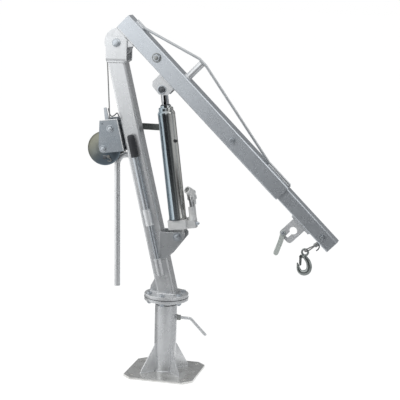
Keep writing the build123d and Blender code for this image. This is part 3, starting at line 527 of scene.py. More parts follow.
def ease_edges(bm, width, segments=2, hollows=False):
    """Rounds the sharp edges that stand out, and on a casting those in its hollows too."""
    bmesh.ops.remove_doubles(bm, verts=bm.verts, dist=MERGE)
    bmesh.ops.recalc_face_normals(bm, faces=bm.faces)
    sharp = [
        edge for edge in bm.edges
        if len(edge.link_faces) == 2 and edge.calc_face_angle() > SHARP and (hollows or edge.is_convex)
    ]
    bmesh.ops.bevel(
        bm, geom=sharp, offset=width, offset_type="OFFSET", affect="EDGES", segments=segments,
        profile=0.5, clamp_overlap=True, material=-1
    )


def to_object(name, bm, finish):
    """An object of the scene from a drawing, which is used up."""
    mesh = bpy.data.meshes.new(name)
    bm.to_mesh(mesh)
    bm.free()
    mesh.materials.append(finish)
    made = bpy.data.objects.new(name, mesh)
    scene.collection.objects.link(made)
    return made


def add_piece(name, bm, body, slot, replaced=(), sharp=40.0, flat=False, finish=None):
    """Scales a drawing from millimetres, makes it a mesh with its finish and lets it ride on a body."""
    bmesh.ops.remove_doubles(bm, verts=bm.verts, dist=MERGE)
    bmesh.ops.recalc_face_normals(bm, faces=bm.faces)
    bmesh.ops.scale(bm, vec=(MM, MM, MM), verts=bm.verts)
    piece = to_object(name, bm, FINISHES[finish or slot])
    piece.data.shade_smooth()
    piece.data.set_sharp_from_angle(angle=math.radians(sharp))
    if flat:
        piece.modifiers.new("flat_faces", "WEIGHTED_NORMAL").keep_sharp = True
    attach(piece, body)
    if replaced:
        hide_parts(*replaced)
    print(name, len(piece.data.polygons), "faces")


def add_turned(name, body, slot, places, outline, steps=40, ease=0.0, **options):
    """A piece that is one outline, spun at each of its places, with its sharp edges eased if wanted."""
    bm = bmesh.new()
    for place in places:
        draw_turned(bm, place, outline, steps)
    if ease:
        ease_edges(bm, ease)
    add_piece(name, bm, body, slot, **options)


# %% [markdown]
# No real edge is a perfect corner: plate is sheared and dipped, bolts are chamfered and
# castings are rounded everywhere. A copy of each solid is merged, its flat faces are
# joined, and its sharp edges are bevelled by what its making would leave. The copy then
# stands for the solid.

# %% Eased edges
EASED_BY = {
    "base_plate": 1.0, "base_gussets": 1.6, "lock_nut": 0.9, "swivel_spindle": 0.6, "mast_flange": 0.6,
    "flange_bolts": 0.8, "mast_rib": 0.8, "mast_yoke": 1.0, "pivot_pin": 1.2, "jack_bracket": 1.0,
    "jack_lower_pin": 1.2, "winch_frame": 1.4, "winch_drum_shaft": 1.0, "winch_gear": 0.4, "crank_shaft": 0.8,
    "crank_arm": 1.2, "winch_pawl": 1.2, "boom_lugs": 1.0, "lug_bolt": 1.2, "guide_axle": 1.2,
    "clamp_screw": 1.0, "tip_axle": 0.9, "keyhole_strip": 1.6, "keyhole_plate": 0.8, "keeper_bolt": 0.9,
    "rope_ferrule": 2.2, "hook_latch": 0.3, "pump_socket": 1.2, "release_valve": 0.8,
    "handle_sleeve_upper": 0.8, "handle_sleeve_lower": 0.8, "slewing_handle": 0.6, "lock_screw": 1.2,
    "base_column": 0.6, "mast_tube": 0.8, "boom_tube": 0.8, "inner_tube": 0.8, "boom_ears": 1.0,
    "truss_rod": 0.8, "truss_strut": 0.6, "ratchet_wheel": 0.4, "handle_rod": 0.8, "mast_sheave": 0.6,
    "guide_roller": 0.5, "tip_sheave": 0.5, "jack_ram": 0.8, "pump_plunger": 0.6, "filler_plug": 0.8,
}


def ease_solid(name, width, hollows=False, segments=2):
    bm = bmesh.new()
    bm.from_mesh(nodes[name].data)
    bmesh.ops.scale(bm, vec=(1 / MM, 1 / MM, 1 / MM), verts=bm.verts)
    bmesh.ops.remove_doubles(bm, verts=bm.verts, dist=MERGE)
    bmesh.ops.dissolve_limit(bm, angle_limit=FLAT, verts=bm.verts, edges=bm.edges)
    ease_edges(bm, width, segments, hollows)
    body, finish = nodes[name]["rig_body"], LOOKS.get(name)
    add_piece(name + "_eased", bm, body, slot_of[name], [name], flat=True, finish=finish)


for name, width in EASED_BY.items():
    ease_solid(name, width)
ease_solid("jack_base", 2.0, hollows=True, segments=3)

# %% [markdown]
# The wire rope is six strands laid round each other. It comes off the drum, goes over
# the sheave at the mast's head, down inside the boom and over the sheave at its tip,
# and ends in a loop pressed into a ferrule. Each stretch has a smooth line of its own,
# with its control points on the polygon that just touches the sheave it goes round.
# The strands then wind round points read from that line.

# %% Wire rope
ROPE_R, STRAND_R, STRANDS = 2.25, 0.76, 6
ROPE_LAY, ROPE_STEP = 29.0, 2.4
STEADY = 6 * 2 * ROPE_R
HEAD_ROPE_R, HEAD_STOP, HEAD_CORNERS = 47.0, math.radians(80.0), 4
TIP_ROPE_R, TIP_CORNERS = 14.0, 3
DRUM_RUN_R, DRUM_LEAD_Y, RISE_SHARE = 20.0, -20.0, 0.3
DRUM_PLACE = MAST.inverted() @ place_of("drum_turn")
WIND_R, WIND_FROM_Y, WIND_PITCH = 15.15, -26.0, 5.2
WIND_TURNS, WIND_POINTS = 9, 12
BOOM_RUN_FROM, BOOM_RUN_MIDDLE, INNER_REAR, ROPE_GAP = 23.0, 160.0, 300.0, 0.5
TIP_S, TIP_H = 966.0, 65.0
TIP_PLACE = Vector((TIP_S, 0, TIP_H))
BOOM_SLOPE = math.atan2(TIP_H, TIP_S) - math.asin((HEAD_ROPE_R - TIP_ROPE_R) / math.hypot(TIP_S, TIP_H))
ROPE_EXIT_TILT = math.radians(11.0)
FERRULE_FROM, FERRULE_TO, FERRULE_LAP = 25.5, 44.5, 2.0
LOOP_END, LOOP_R, LOOP_TWIST, LOOP_CORNERS = 83.0, 9.5, math.radians(30.0), 6
STRAND_HALF = 2.5


def ray(angle):
    """A direction in the plane Y = 0, at an angle from X towards Z."""
    return Vector((math.cos(angle), 0, math.sin(angle)))


def round_sheave(centre, radius, first, last, count):
    """Control points of a rope in the plane Y = 0 from one angle to another round a sheave."""
    step = (last - first) / count
    reach = radius / math.cos(step / 2)
    return [centre + ray(first + (i + 0.5) * step) * reach for i in range(count)]


def draw_rope(bm, route):
    """Six strands round the smooth line of a route, and the length of that line."""
    points = spaced(smooth_line(route), ROPE_STEP)
    places = along_line(points)
    out = Vector((ROPE_R - STRAND_R, 0, 0))
    strands = []
    for k in range(STRANDS):
        turns = [2 * math.pi * (k / STRANDS + i * ROPE_STEP / ROPE_LAY) for i in range(len(places))]
        strands.append([place @ (Matrix.Rotation(turn, 4, "Z") @ out) for place, turn in zip(places, turns)])
    draw_rods(bm, strands, STRAND_R)
    return line_length(points)


def add_rope(name, route, body, node):
    bm = bmesh.new()
    length = draw_rope(bm, route)
    add_piece(name, bm, body, "wire_rope", [node], sharp=60.0)
    print(name, "length", round(length), "mm")


def mast_rope_route():
    head, drum = place_of("boom_lift"), place_of("drum_turn")
    span = head - drum
    left = math.pi / 2 + math.atan2(span.z, span.x) + math.asin((DRUM_RUN_R + HEAD_ROPE_R) / span.length)
    start, touch = drum - ray(left) * DRUM_RUN_R, head + ray(left) * HEAD_ROPE_R
    ahead = (touch - start).normalized()
    rise = [start + Vector((0, DRUM_LEAD_Y, 0)), touch.lerp(start, RISE_SHARE), touch - ahead * STEADY]
    wheel = round_sheave(head, HEAD_ROPE_R, left, HEAD_STOP, HEAD_CORNERS)
    return rise + wheel + [head + ray(HEAD_STOP) * HEAD_ROPE_R]


def in_boom(s):
    """A point of the run inside the boom."""
    return Vector((s, 0, HEAD_ROPE_R / math.cos(BOOM_SLOPE) + s * math.tan(BOOM_SLOPE)))


def below_tip(length, across=0.0):
    """A point this far below the tip sheave along the rope, and this far to the side in the loop's plane."""
    down = Vector((-math.sin(ROPE_EXIT_TILT), 0, -math.cos(ROPE_EXIT_TILT)))
    wide = Vector((0, 1, 0)) * math.cos(LOOP_TWIST) + Vector((-down.z, 0, down.x)) * math.sin(LOOP_TWIST)
    return TIP_PLACE + ray(-ROPE_EXIT_TILT) * TIP_ROPE_R + down * length + wide * across


def tip_rope_route():
    wheel = round_sheave(TIP_PLACE, TIP_ROPE_R, math.pi / 2 + BOOM_SLOPE, -ROPE_EXIT_TILT, TIP_CORNERS)
    hanging = [below_tip(FERRULE_FROM / 2), below_tip(FERRULE_FROM + FERRULE_LAP)]
    return [in_boom(INNER_REAR), in_boom(TIP_S - STEADY)] + wheel + hanging


def loop_route():
    centre, start = LOOP_END - LOOP_R, FERRULE_TO - FERRULE_LAP
    reach = math.hypot(centre - start, STRAND_HALF)
    lead = math.acos(LOOP_R / reach) - math.atan2(STRAND_HALF, centre - start)
    step = 2 * (math.pi - lead) / LOOP_CORNERS
    far = LOOP_R / math.cos(step / 2)
    angles = [math.pi - lead - (i + 0.5) * step for i in range(LOOP_CORNERS)]
    turn = [below_tip(centre + far * math.cos(a), far * math.sin(a)) for a in angles]
    return [below_tip(start, STRAND_HALF)] + turn + [below_tip(start, -STRAND_HALF)]


def winding_route():
    reach = WIND_R / math.cos(math.pi / WIND_POINTS)
    route = []
    for i in range(WIND_TURNS * WIND_POINTS + 1):
        turn = i / WIND_POINTS
        angle = 2 * math.pi * turn
        around = Vector((reach * math.cos(angle), WIND_FROM_Y + WIND_PITCH * turn, reach * math.sin(angle)))
        route.append(DRUM_PLACE + around)
    return route


def placed(base, route):
    return [base @ point for point in route]


add_rope("mast_rope", mast_rope_route(), "mast", "rope_lower")
add_rope("drum_rope", placed(MAST, winding_route()), "drum", "rope_winding")
boom_run = [in_boom(s) for s in (BOOM_RUN_FROM, BOOM_RUN_MIDDLE, INNER_REAR - ROPE_GAP)]
add_rope("boom_rope", placed(BOOM, boom_run), "boom", "rope_boom")
add_rope("tip_rope", placed(BOOM, tip_rope_route()), "inner_boom", "rope_tip")
add_rope("loop_rope", placed(BOOM, loop_route()), "inner_boom", "rope_eye")

# %% [markdown]
# Beyond the ferrule the rope's cut end is left standing in a short bow. It is a piece
# of rope with the same lay, in a darker finish that is painted shade.

# %% Rope tail
TAIL = [(531.5, -4, 512), (536.5, -8, 504), (536.5, -9, 497), (532, -9.5, 490), (527, -9.5, 486)]
bm = bmesh.new()
draw_rope(bm, [Vector(point) for point in TAIL])
add_piece("shaded_rope_tail", bm, "inner_boom", "dark_bolt", sharp=60.0)

# %% [markdown]
# The hook is a forging: an eye, a neck and a thick bowl that thins to the beak, all one
# piece of steel. Drawing it in one go would be hard, so an oval bar follows the hook's
# line, a spun ring makes the eye, a boss carries the latch, and a voxel remesh melts
# the three into one skin, which is then smoothed as a forging is. The latch's pin goes
# through the boss afterwards.

# %% Hook
EYE_DROP, EYE_R, EYE_WIRE_R = 2.7, 10.7, 3.8
HOOK_LINE = [
    (0, -9), (1.5, -19), (9, -27), (15, -37), (17.5, -52), (13.5, -67), (0.5, -73.5), (-14, -71.5),
    (-20.5, -60), (-22.5, -48), (-25.5, -38.5),
]
HOOK_HALF_WIDTHS = [6.0, 7.5, 8.6, 9.2, 9.6, 9.8, 10.0, 8.6, 7.0, 5.2, 2.2]
HOOK_HALF_DEPTHS = [4.5, 5.5, 6.8, 8.0, 8.6, 8.8, 8.8, 8.0, 6.6, 5.0, 2.4]
HOOK_STEP, HOOK_VOXEL, HOOK_ROUNDS = 2.0, 0.8, 8
LATCH, LATCH_ROOT = Vector((-13.5, 0, -16.0)), Vector((-4, 0, -18))
BOSS_R, BOSS_HALF = 4.4, 3.9
PIN_R, PIN_HALF = 1.6, Vector((0, 6.5, 0))


def spread(values, count):
    """Values carried evenly over a longer list of places."""
    result = []
    for i in range(count):
        at = i / (count - 1) * (len(values) - 1)
        k = min(int(at), len(values) - 2)
        result.append(values[k] + (values[k + 1] - values[k]) * (at - k))
    return result


def melt_together(bm, voxel, rounds):
    """Fuses overlapping shells into one smoothed skin."""
    mesh = bpy.data.meshes.new("melt")
    bm.to_mesh(mesh)
    holder = bpy.data.objects.new("melt", mesh)
    scene.collection.objects.link(holder)
    skin = holder.modifiers.new("skin", "REMESH")
    skin.mode = "VOXEL"
    skin.voxel_size = voxel
    ease = holder.modifiers.new("ease", "SMOOTH")
    ease.factor = 0.5
    ease.iterations = rounds
    bpy.context.view_layer.update()
    graph = bpy.context.evaluated_depsgraph_get()
    melted = bpy.data.meshes.new_from_object(holder.evaluated_get(graph))
    bm.clear()
    bm.from_mesh(melted)
    bpy.data.objects.remove(holder)
    bpy.data.meshes.remove(mesh)
    bpy.data.meshes.remove(melted)


bm = bmesh.new()
eye = Matrix.Translation(place_of("hook_swing") - Vector((0, 0, EYE_DROP)))
hook_line = [eye @ Vector((x, 0, z)) for x, z in HOOK_LINE]
places = along_line(spaced(smooth_line(hook_line), HOOK_STEP))
depths, widths = (spread(values, len(places)) for values in (HOOK_HALF_DEPTHS, HOOK_HALF_WIDTHS))
draw_bar(bm, places, list(zip(depths, widths)), 24)
draw_turned(bm, spot(eye, (0, 0, 0), (0, 1, 0)), ring_outline(EYE_R, EYE_WIRE_R, 16))
boss = [(0, -BOSS_HALF), (BOSS_R, -BOSS_HALF), (BOSS_R, BOSS_HALF), (0, BOSS_HALF)]
draw_turned(bm, spot(eye, LATCH, (0, 1, 0)), boss, 24)
draw_bar(bm, along_line(placed(eye, [LATCH, LATCH_ROOT])), [(BOSS_HALF, BOSS_R)] * 2, 16)
bmesh.ops.remove_doubles(bm, verts=bm.verts, dist=MERGE)
bmesh.ops.recalc_face_normals(bm, faces=bm.faces)
melt_together(bm, HOOK_VOXEL, HOOK_ROUNDS)
pin = placed(eye, [LATCH - PIN_HALF, LATCH + PIN_HALF])
draw_bar(bm, along_line(pin, (1, 0, 0)), [(PIN_R, PIN_R)] * 2, 16)
add_piece("forged_hook", bm, "hook", "hook_steel", ["hook"])

# %% [markdown]
# The keeper hangs from its bolt on the keyhole plate: a flat finger with round ends,
# bent a little part of the way down. It is a bar with a four-sided section along a bent
# line; its width shrinks along a half circle at each end, and its edges are bevelled.

# %% Keeper finger
KEEPER_HALF_T, KEEPER_HALF_W, KEEPER_LEAST = 2.5, 8.8, 0.2
KEEPER_STEP, KEEPER_EASE = 1.2, 1.1
KEEPER_LINE = [(1.6, 8.0), (0.0, 0.0), (-3.6, -14), (-7.5, -30), (-14.5, -50), (-25.0, -80.0)]
CORNER = Matrix.Rotation(math.pi / 4, 4, "Z")
CORNER_OUT = math.sqrt(2)


def half_width(along, length, most):
    """Half the width of a round-ended strip at a distance along it."""
    left = min(along, length - along)
    if left >= most:
        return most
    return max(KEEPER_LEAST * most, math.sqrt(most ** 2 - (most - left) ** 2))


bm = bmesh.new()
keeper = [place_of("keeper_swing") + Vector((x, 0, z)) for x, z in KEEPER_LINE]
line = spaced(smooth_line(keeper), KEEPER_STEP)
length = line_length(line)
places = []
for i, place in enumerate(along_line(line)):
    wide = half_width(i * length / (len(line) - 1), length, KEEPER_HALF_W)
    places.append(place @ Matrix.Diagonal((KEEPER_HALF_T, wide, 1, 1)) @ CORNER)
draw_bar(bm, places, [(CORNER_OUT, CORNER_OUT)] * len(places), 4)
ease_edges(bm, KEEPER_EASE)
# The keeper's paler zinc is painted light, so it stays pale where the plating would mirror the dark card.
add_piece("keeper_finger", bm, "keeper", "zinc_plated", ["keeper_lever"], finish="pale_lit_zinc", flat=True)

# %% [markdown]
# The winch drum is pressed from sheet: a core with a flange that stands out most at its
# middle, steps back and leans away towards a rolled rim. One outline, spun once, gives
# all of it together.

# %% Winch drum
DRUM_OUTLINE = [
    (6.1, -25), (12.7, -25), (12.7, 28.5), (30, 32.0), (54, 29.6), (57.6, 29.0), (60, 30.4), (59.6, 32.2),
    (57.8, 31.4), (54.4, 31.8), (33.4, 34.0), (31.6, 35.6), (29.6, 36.2), (6.1, 36.6), (6.1, -25),
]
drum_face = spot(MAST, DRUM_PLACE, (0, -1, 0))
drum_look = {"replaced": ["winch_drum"], "finish": "spun_zinc"}
add_turned("pressed_drum", "drum", "yellow_zinc", [drum_face], DRUM_OUTLINE, 64, **drum_look)

# %% [markdown]
# The jack is a drawn tube that is smooth enough to mirror the room, so it is spun finely.
# Its outline has the bead under the rolled top, the cap, the gland round the ram and the
# lip where the tube stands in its casting.

# %% Jack tube
JACK_BORE, JACK_FOOT = 13.2, 56.0
JACK_OUTLINE = [
    (JACK_BORE, JACK_FOOT), (30.2, JACK_FOOT), (30.8, 57), (30.8, 63), (30, 64), (30, 423), (30.5, 424.4),
    (30.6, 427), (30.1, 429.4), (29.2, 432.6), (27.6, 435.2), (26.0, 436.4), (25.5, 438), (25.5, 446.8),
    (24.9, 448.3), (23.4, 449), (19.6, 449.2), (19, 450), (19, 455.4), (18.5, 456.6), (17.4, 457),
    (JACK_BORE, 457), (JACK_BORE, JACK_FOOT),
]
add_turned("jack_tube", "jack", "jack_plating", [JACK], JACK_OUTLINE, 96, replaced=["jack_cylinder"])

# %% [markdown]
# The grips are turned shapes. The pump handle's rubber grip has shallow rings so that a
# wet hand holds it, and the crank's plastic grip swells in the middle.

# %% Grips
GRIP_FOOT = (0, -44.2, 498.0)
GRIP_START = [(0, 65), (10, 65), (10, 0), (12.0, 0), (13.2, 1.6), (13.2, 5.0), (12.4, 6.2)]
GRIP_END = [(12.6, 70), (12.2, 73.5), (9.5, 77.6), (5, 79), (0, 79)]
GRIP_RINGS, RINGS_FROM, RINGS_TO = 9, 8.0, 68.0
RING_SHAPE = [(12.9, 0.8), (12.9, 5.2), (12.2, 6.0)]
CRANK_GRIP_Y, CRANK_GRIP_EASE = 79.0, 1.0
CRANK_GRIP_OUTLINE = [
    (5.1, 0), (10.5, 0), (12, 2), (12.6, 8), (14, 32), (14, 52), (12.8, 70), (11, 78.5), (9, 81),
    (5.1, 81), (5.1, 0),
]
rings = []
for i in range(GRIP_RINGS):
    low = RINGS_FROM + (RINGS_TO - RINGS_FROM) * i / GRIP_RINGS
    rings += [(radius, low + height) for radius, height in RING_SHAPE]
outline = GRIP_START + rings + GRIP_END
foot = spot(MAST, GRIP_FOOT)
add_turned("ringed_grip", "stored_handle", "black_rubber", [foot], outline, replaced=["handle_grip"])
end = place_of("crank_grip_spin")
foot = spot(WORLD, (end.x, CRANK_GRIP_Y, end.z), (0, 1, 0))
crank_look = {"ease": CRANK_GRIP_EASE, "replaced": ["crank_grip"]}
add_turned("swelled_grip", "crank_handle", "black_plastic", [foot], CRANK_GRIP_OUTLINE, **crank_look)

# %% [markdown]
# Washers and rings are small, but they give each bolt its bright rim and hide the joint
# under it. All these bolts lie along Y. A row of the table gives a pair of rings its
# body, the frame and the place of its bolt, its two radii, how far out it lies and a
# finish where it isn't the usual one.

# %% Washers and rings
WASHER_T, WASHER_EASE = 1.8, 0.4
GUIDE_BOLT, LUG_BOLT, TIP_BOLT = (134, 67), (224, 3), (TIP_S, TIP_H)
DRUM_BOLT, CRANK_BOLT = DRUM_PLACE.xz, (MAST.inverted() @ place_of("crank_turn")).xz
BRACKET_BOLT = JACK.translation.xz
WASHERS = [
    # The guide bolt's washers are dark, painted shade round its head.
    ("guide_washers", "boom", BOOM, GUIDE_BOLT, (12.9, 16.5), 30, "ferrule_metal"),
    ("lug_washers", "boom", BOOM, LUG_BOLT, (11.7, 15.5), 24, None),
    ("bracket_washers", "mast", WORLD, BRACKET_BOLT, (11.7, 15.5), 36, None),
    ("crank_ring", "mast", MAST, CRANK_BOLT, (9.7, 13.0), 43.5, None),
    ("drum_washers", "mast", MAST, DRUM_BOLT, (9.4, 12.5), 43.5, None),
    ("tip_washers", "inner_boom", BOOM, TIP_BOLT, (7.6, 10.2), 25, None),
]


def bolt_ends(base, bolt, faces):
    """Places on a bolt along Y, at these distances from the middle and facing outwards."""
    x, z = bolt
    return [spot(base, (x, y, z), (0, math.copysign(1, y), 0)) for y in faces]


for name, body, base, bolt, radii, face, finish in WASHERS:
    inner, outer = radii
    section = [(inner, 0), (outer, 0), (outer, WASHER_T), (inner, WASHER_T), (inner, 0)]
    ends = bolt_ends(base, bolt, (-face, face))
    add_turned(name, body, "zinc_plated", ends, section, ease=WASHER_EASE, finish=finish)

# %% [markdown]
# A bolt's head is turned before it is made six-sided, so its face is a low dome. The
# dome is a short outline spun on the face of each head. A row gives a bolt's dome its
# radius and where its two ends are.

# %% Bolt crowns
CROWN_SHAPE = [(0.0, 0.0), (1.0, 0.0), (0.93, 0.35), (0.8, 0.62), (0.6, 0.82), (0.35, 0.95), (0.0, 1.0)]
CROWN_HEIGHT, CROWN_STEPS = 0.17, 32
PIVOT_BOLT, KEEPER_BOLT = place_of("boom_lift").xz, (BOOM.inverted() @ place_of("keeper_swing")).xz
CROWNS = [
    ("guide_crowns", "boom", BOOM, GUIDE_BOLT, 8.2, (-38, 40), "ferrule_metal"),
    ("lug_crowns", "boom", BOOM, LUG_BOLT, 6.4, (-32, 32), "dark_bolt"),
    ("pivot_crowns", "mast", WORLD, PIVOT_BOLT, 10.8, (-44, 42), None),
    ("bracket_crowns", "mast", WORLD, BRACKET_BOLT, 7.4, (-43, 43), None),
    ("crank_crown", "crank", MAST, CRANK_BOLT, 6.0, (-50.5, 84), None),
    ("drum_crowns", "mast", MAST, DRUM_BOLT, 6.0, (-49.5, 49.5), None),
    ("tip_crowns", "inner_boom", BOOM, TIP_BOLT, 4.8, (-31, 32), None),
    ("keeper_crown", "inner_boom", BOOM, KEEPER_BOLT, 4.8, (-15, 10), None),
]
for name, body, base, bolt, radius, faces, finish in CROWNS:
    outline = [(radius * wide, CROWN_HEIGHT * radius * high) for wide, high in CROWN_SHAPE]
    add_turned(name, body, "zinc_plated", bolt_ends(base, bolt, faces), outline, CROWN_STEPS, finish=finish)

# %% [markdown]
# The winch's side plate is folded, and its rounded edges catch the light. A slim rod
# along each edge stands for the fold, in a paler finish than the plate's: a painted
# highlight along the folds.

# %% Folded edges of the winch
FOLD_R, FOLD_Y, FOLD_STEP = 1.9, 43.0, 4.0
FOLD_LINE = [(-35.6, 528), (-35.6, 638.8), (-98.0, 644.3)]
bm = bmesh.new()
for y in (-FOLD_Y, FOLD_Y):
    corners = [MAST @ Vector((x, y, w)) for x, w in FOLD_LINE]
    lines = [spaced(pair, FOLD_STEP) for pair in zip(corners, corners[1:])]
    draw_rods(bm, lines, FOLD_R, 3)
add_piece("winch_folds_highlight", bm, "mast", "zinc_plated", sharp=70.0, finish="galvanised")

# %% [markdown]
# The rope's end comes out through the drum's flange and is held there by a clamp: a
# small dark saddle with a yellow nut beside it. The bent rope end runs under the nut
# and curls back.

# %% Rope clamp on the drum
WIRE_STEP = 2.0
CLAMP_FACE = -34.0
SADDLE_PLACE, SADDLE_SIZE, SADDLE_EASE = (-225, CLAMP_FACE - 1.6, 764.5), (13, 4.0, 9), 1.0
NUT_PLACE, NUT_R, NUT_T, NUT_EASE = (-211, CLAMP_FACE - 2.0, 769), 6.0, 4.4, 0.8
CLAMP_END_R, CLAMP_END_Y = 1.7, CLAMP_FACE - 1.2
CLAMP_END = [(-232, 771), (-222, 773), (-207, 764), (-200, 756), (-203, 752), (-214, 754)]


def add_wire(name, body, slot, points, radius):
    """A piece of round wire along the smooth line of these points."""
    bm = bmesh.new()
    line = spaced(smooth_line([Vector(point) for point in points]), WIRE_STEP)
    draw_rods(bm, [line], radius, 2)
    add_piece(name, bm, body, slot, sharp=60.0)


bm = bmesh.new()
saddle = Matrix.Translation(SADDLE_PLACE) @ Matrix.Diagonal((*SADDLE_SIZE, 1))
bmesh.ops.create_cube(bm, size=1.0, matrix=saddle)
ease_edges(bm, SADDLE_EASE)
add_piece("clamp_saddle", bm, "drum", "dark_bolt", flat=True)
bm = bmesh.new()
nut = spot(WORLD, NUT_PLACE, (0, -1, 0))
bmesh.ops.create_cone(
    bm, cap_ends=True, segments=6, radius1=NUT_R, radius2=NUT_R, depth=NUT_T, matrix=nut
)
ease_edges(bm, NUT_EASE)
add_piece("clamp_nut", bm, "drum", "yellow_zinc", flat=True)
add_wire("clamped_end", "drum", "wire_rope", [(x, CLAMP_END_Y, z) for x, z in CLAMP_END], CLAMP_END_R)

# %% [markdown]
# The pump lever's socket takes the handle. A steel stop fills its lower part and shows
# as a grey floor in the mouth. It is spun like the rest, on the socket's axis.

# %% Stop in the pump socket
PUMP_X, PUMP_YAW = 53.0, math.radians(-29.0)
SOCKET_MOUTH, SOCKET_TILT = (0, -12.7, 159.0), math.radians(56.5)
STOP_OUTLINE = [(0, -27.6), (8.7, -27.6), (8.7, -3.0), (0, -3.0)]
pump = JACK @ Matrix.Translation((PUMP_X, 0, 0)) @ Matrix.Rotation(PUMP_YAW, 4, "Z")
mouth = pump @ Matrix.Translation(SOCKET_MOUTH) @ Matrix.Rotation(SOCKET_TILT, 4, "X")
add_turned("socket_bush", "pump_lever", "zinc_plated", [mouth], STOP_OUTLINE, finish="ferrule_metal")

# %% [markdown]
# Black rubber shows where the swivel's seal sits between the column and the collar,
# where the jack's wiper closes round the ram, round the jack's foot, and as a thin line
# between the two discs. The wiper is a real lip. The ring round the jack's foot is
# painted shade, a dark line where the tube stands in its casting, and the seal and the
# ring between the discs are real rings that also paint the dark shade lines of those
# joints. Each is an outline spun at a height in its frame: a round ring, or a lip for
# the wiper.

# %% Seals and painted shade lines
WIPER_OUTLINE = [(13.2, 0), (16.5, 0), (15.6, 2.2), (13.2, 2.6), (13.2, 0)]
SEALS_AND_SHADE_LINES = [
    # The foot ring is painted shade; the swivel seal and the ring between the discs also paint the shade
    # lines of their joints.
    ("swivel_seal", "mast", WORLD, 251.7, ring_outline(37.0, 1.4), 64),
    ("ram_wiper", "jack", JACK, 457.0, WIPER_OUTLINE, 40),
    ("foot_seal", "jack", JACK, 56.4, ring_outline(30.6, 1.0), 64),
    ("flange_gasket", "mast", WORLD, 279.0, ring_outline(77.6, 1.3), 64),
]
for name, body, base, height, outline, steps in SEALS_AND_SHADE_LINES:
    add_turned(name, body, "black_rubber", [spot(base, (0, 0, height))], outline, steps)

# %% [markdown]
# The crane is welded together before it is galvanised, so its joints are filled with
# rippled beads under the zinc. A bead is a bar whose size swells and shrinks from step
# to step, sunk half into the joint. Most beads come in twins, one on each side of a
# plate; others cross the end of a plate or run round a tube. The table has a line for
# each joint, and all the beads on one body are one piece.

# %% Weld beads
WELD_STEP, WELD_END = 0.75, 0.55
WELD_RIPPLES, WELD_BEAT = (0.12, 0.07), 1.7
GUSSET_ANGLES = (45, 135, 225, 315)
COLUMN_FOOT = Matrix.Translation((0, 0, 9.5))
LOCK_NUT = Matrix.Translation((39.6, 0, 204.5)) @ Matrix.Rotation(math.pi / 2, 4, "Y")
MAST_LOOP = [(-25.5, -30.5), (37.5, -30.5), (37.5, 30.5), (-25.5, 30.5), (-25.5, -30.5)]
SLEEVE_X, SLEEVE_Y = 6.6, -31.4
SLEW_HANDLE = spot(MAST, (-30.5, 0, 490.6), (-1, 0, 0))
STRUT_FOOT = spot(BOOM, (254, 0, 95.6))


def draw_weld(bm, base, line, size):
    points = spaced([base @ Vector(point) for point in line], WELD_STEP * size)
    strong, weak = WELD_RIPPLES
    sizes = []
    for i in range(len(points)):
        ripple = 1 + strong * math.cos(math.pi * i) + weak * math.sin(WELD_BEAT * i)
        end = WELD_END if i in (0, len(points) - 1) else 1.0
        sizes.append(size * ripple * end)
    draw_rods(bm, [points], sizes, 2)


def twins(base, side, first, last, size):
    """Beads on both sides of the plane Y = 0, between two points in it."""
    return [(base, [(x, y, z) for x, z in (first, last)], size) for y in (-side, side)]


def crossing(base, x, z, half, size):
    """A bead along Y, over the end of a plate."""
    return [(base, [(x, -half, z), (x, half, z)], size)]


def ringed(place, radius, count, size):
    """A bead round the Z axis of a place."""
    return [(place, [(x, y, 0) for x, y in circle(radius, count)], size)]


def gusset(angle):
    base = Matrix.Rotation(math.radians(angle), 4, "Z")
    foot, flank = twins(base, 3.6, (44, 8.8), (96, 8.8), 2.4), twins(base, 3.6, (39.6, 14), (39.6, 104), 2.4)
    return foot + flank + crossing(base, 97.5, 8.8, 4, 2.6) + crossing(base, 40.5, 106.5, 3, 2.4)


def mast_end(shift, z, size):
    corners = [(x + shift, y, z) for x, y in MAST_LOOP]
    return [(WORLD, pair, size) for pair in zip(corners, corners[1:])]


def sleeve(low, high, size):
    return [(MAST, [(x, SLEEVE_Y, low), (x, SLEEVE_Y, high)], size) for x in (-SLEEVE_X, SLEEVE_X)]


WELDS = {
    "base": [
        ringed(COLUMN_FOOT, 40, 48, 4.0),
        *(gusset(angle) for angle in GUSSET_ANGLES),
        ringed(LOCK_NUT, 9.6, 24, 2.0),
    ],
    "mast": [
        mast_end(0, 292, 4.2),
        mast_end(-198.4, 1099.2, 3.6),
        twins(WORLD, 31.6, (-20.6, 424), (-20.6, 515), 2.6),
        twins(WORLD, 31.6, (-19, 422.4), (5, 422.4), 2.6),
        twins(WORLD, 3.4, (-60, 291.6), (-27, 291.6), 2.4),
        twins(WORLD, 3.4, (-26.5, 297), (-38.8, 347), 2.4),
        sleeve(255, 310, 2.6),
        sleeve(75, 132, 2.6),
        ringed(SLEW_HANDLE, 10.6, 28, 2.8),
    ],
    "boom": [
        twins(BOOM, 26.6, (-35, 38), (49, 38), 3.7),
        twins(BOOM, 25, (182, 34.2), (250, 34.2), 2.8),
        twins(BOOM, 4.2, (-7, 96), (28, 96), 2.6),
        twins(BOOM, 4.2, (660, 96), (761, 96), 2.6),
        ringed(STRUT_FOOT, 12.6, 28, 2.8),
        [(BOOM, [(243, 0, 163.6), (265, 0, 163.6)], 3.0)],
    ],
    "inner_boom": [
        twins(BOOM, 20.4, (846, 39), (925, 39), 2.4),
        twins(BOOM, 4.4, (855, 32.4), (909, 32.4), 2.2),
        crossing(BOOM, 843.6, 39, 19, 2.4),
        crossing(BOOM, 927.4, 39, 19, 2.4),
    ],
}
for body, groups in WELDS.items():
    bm = bmesh.new()
    for bead in sum(groups, []):
        draw_weld(bm, *bead)
    add_piece(body + "_welds", bm, body, "galvanised", sharp=70.0)

# %% [markdown]
# A spring of dark wire stands over the top of the winch. It dips, rises again and comes
# down in front of the mast, close to the frame but clear of it and of the pawl.

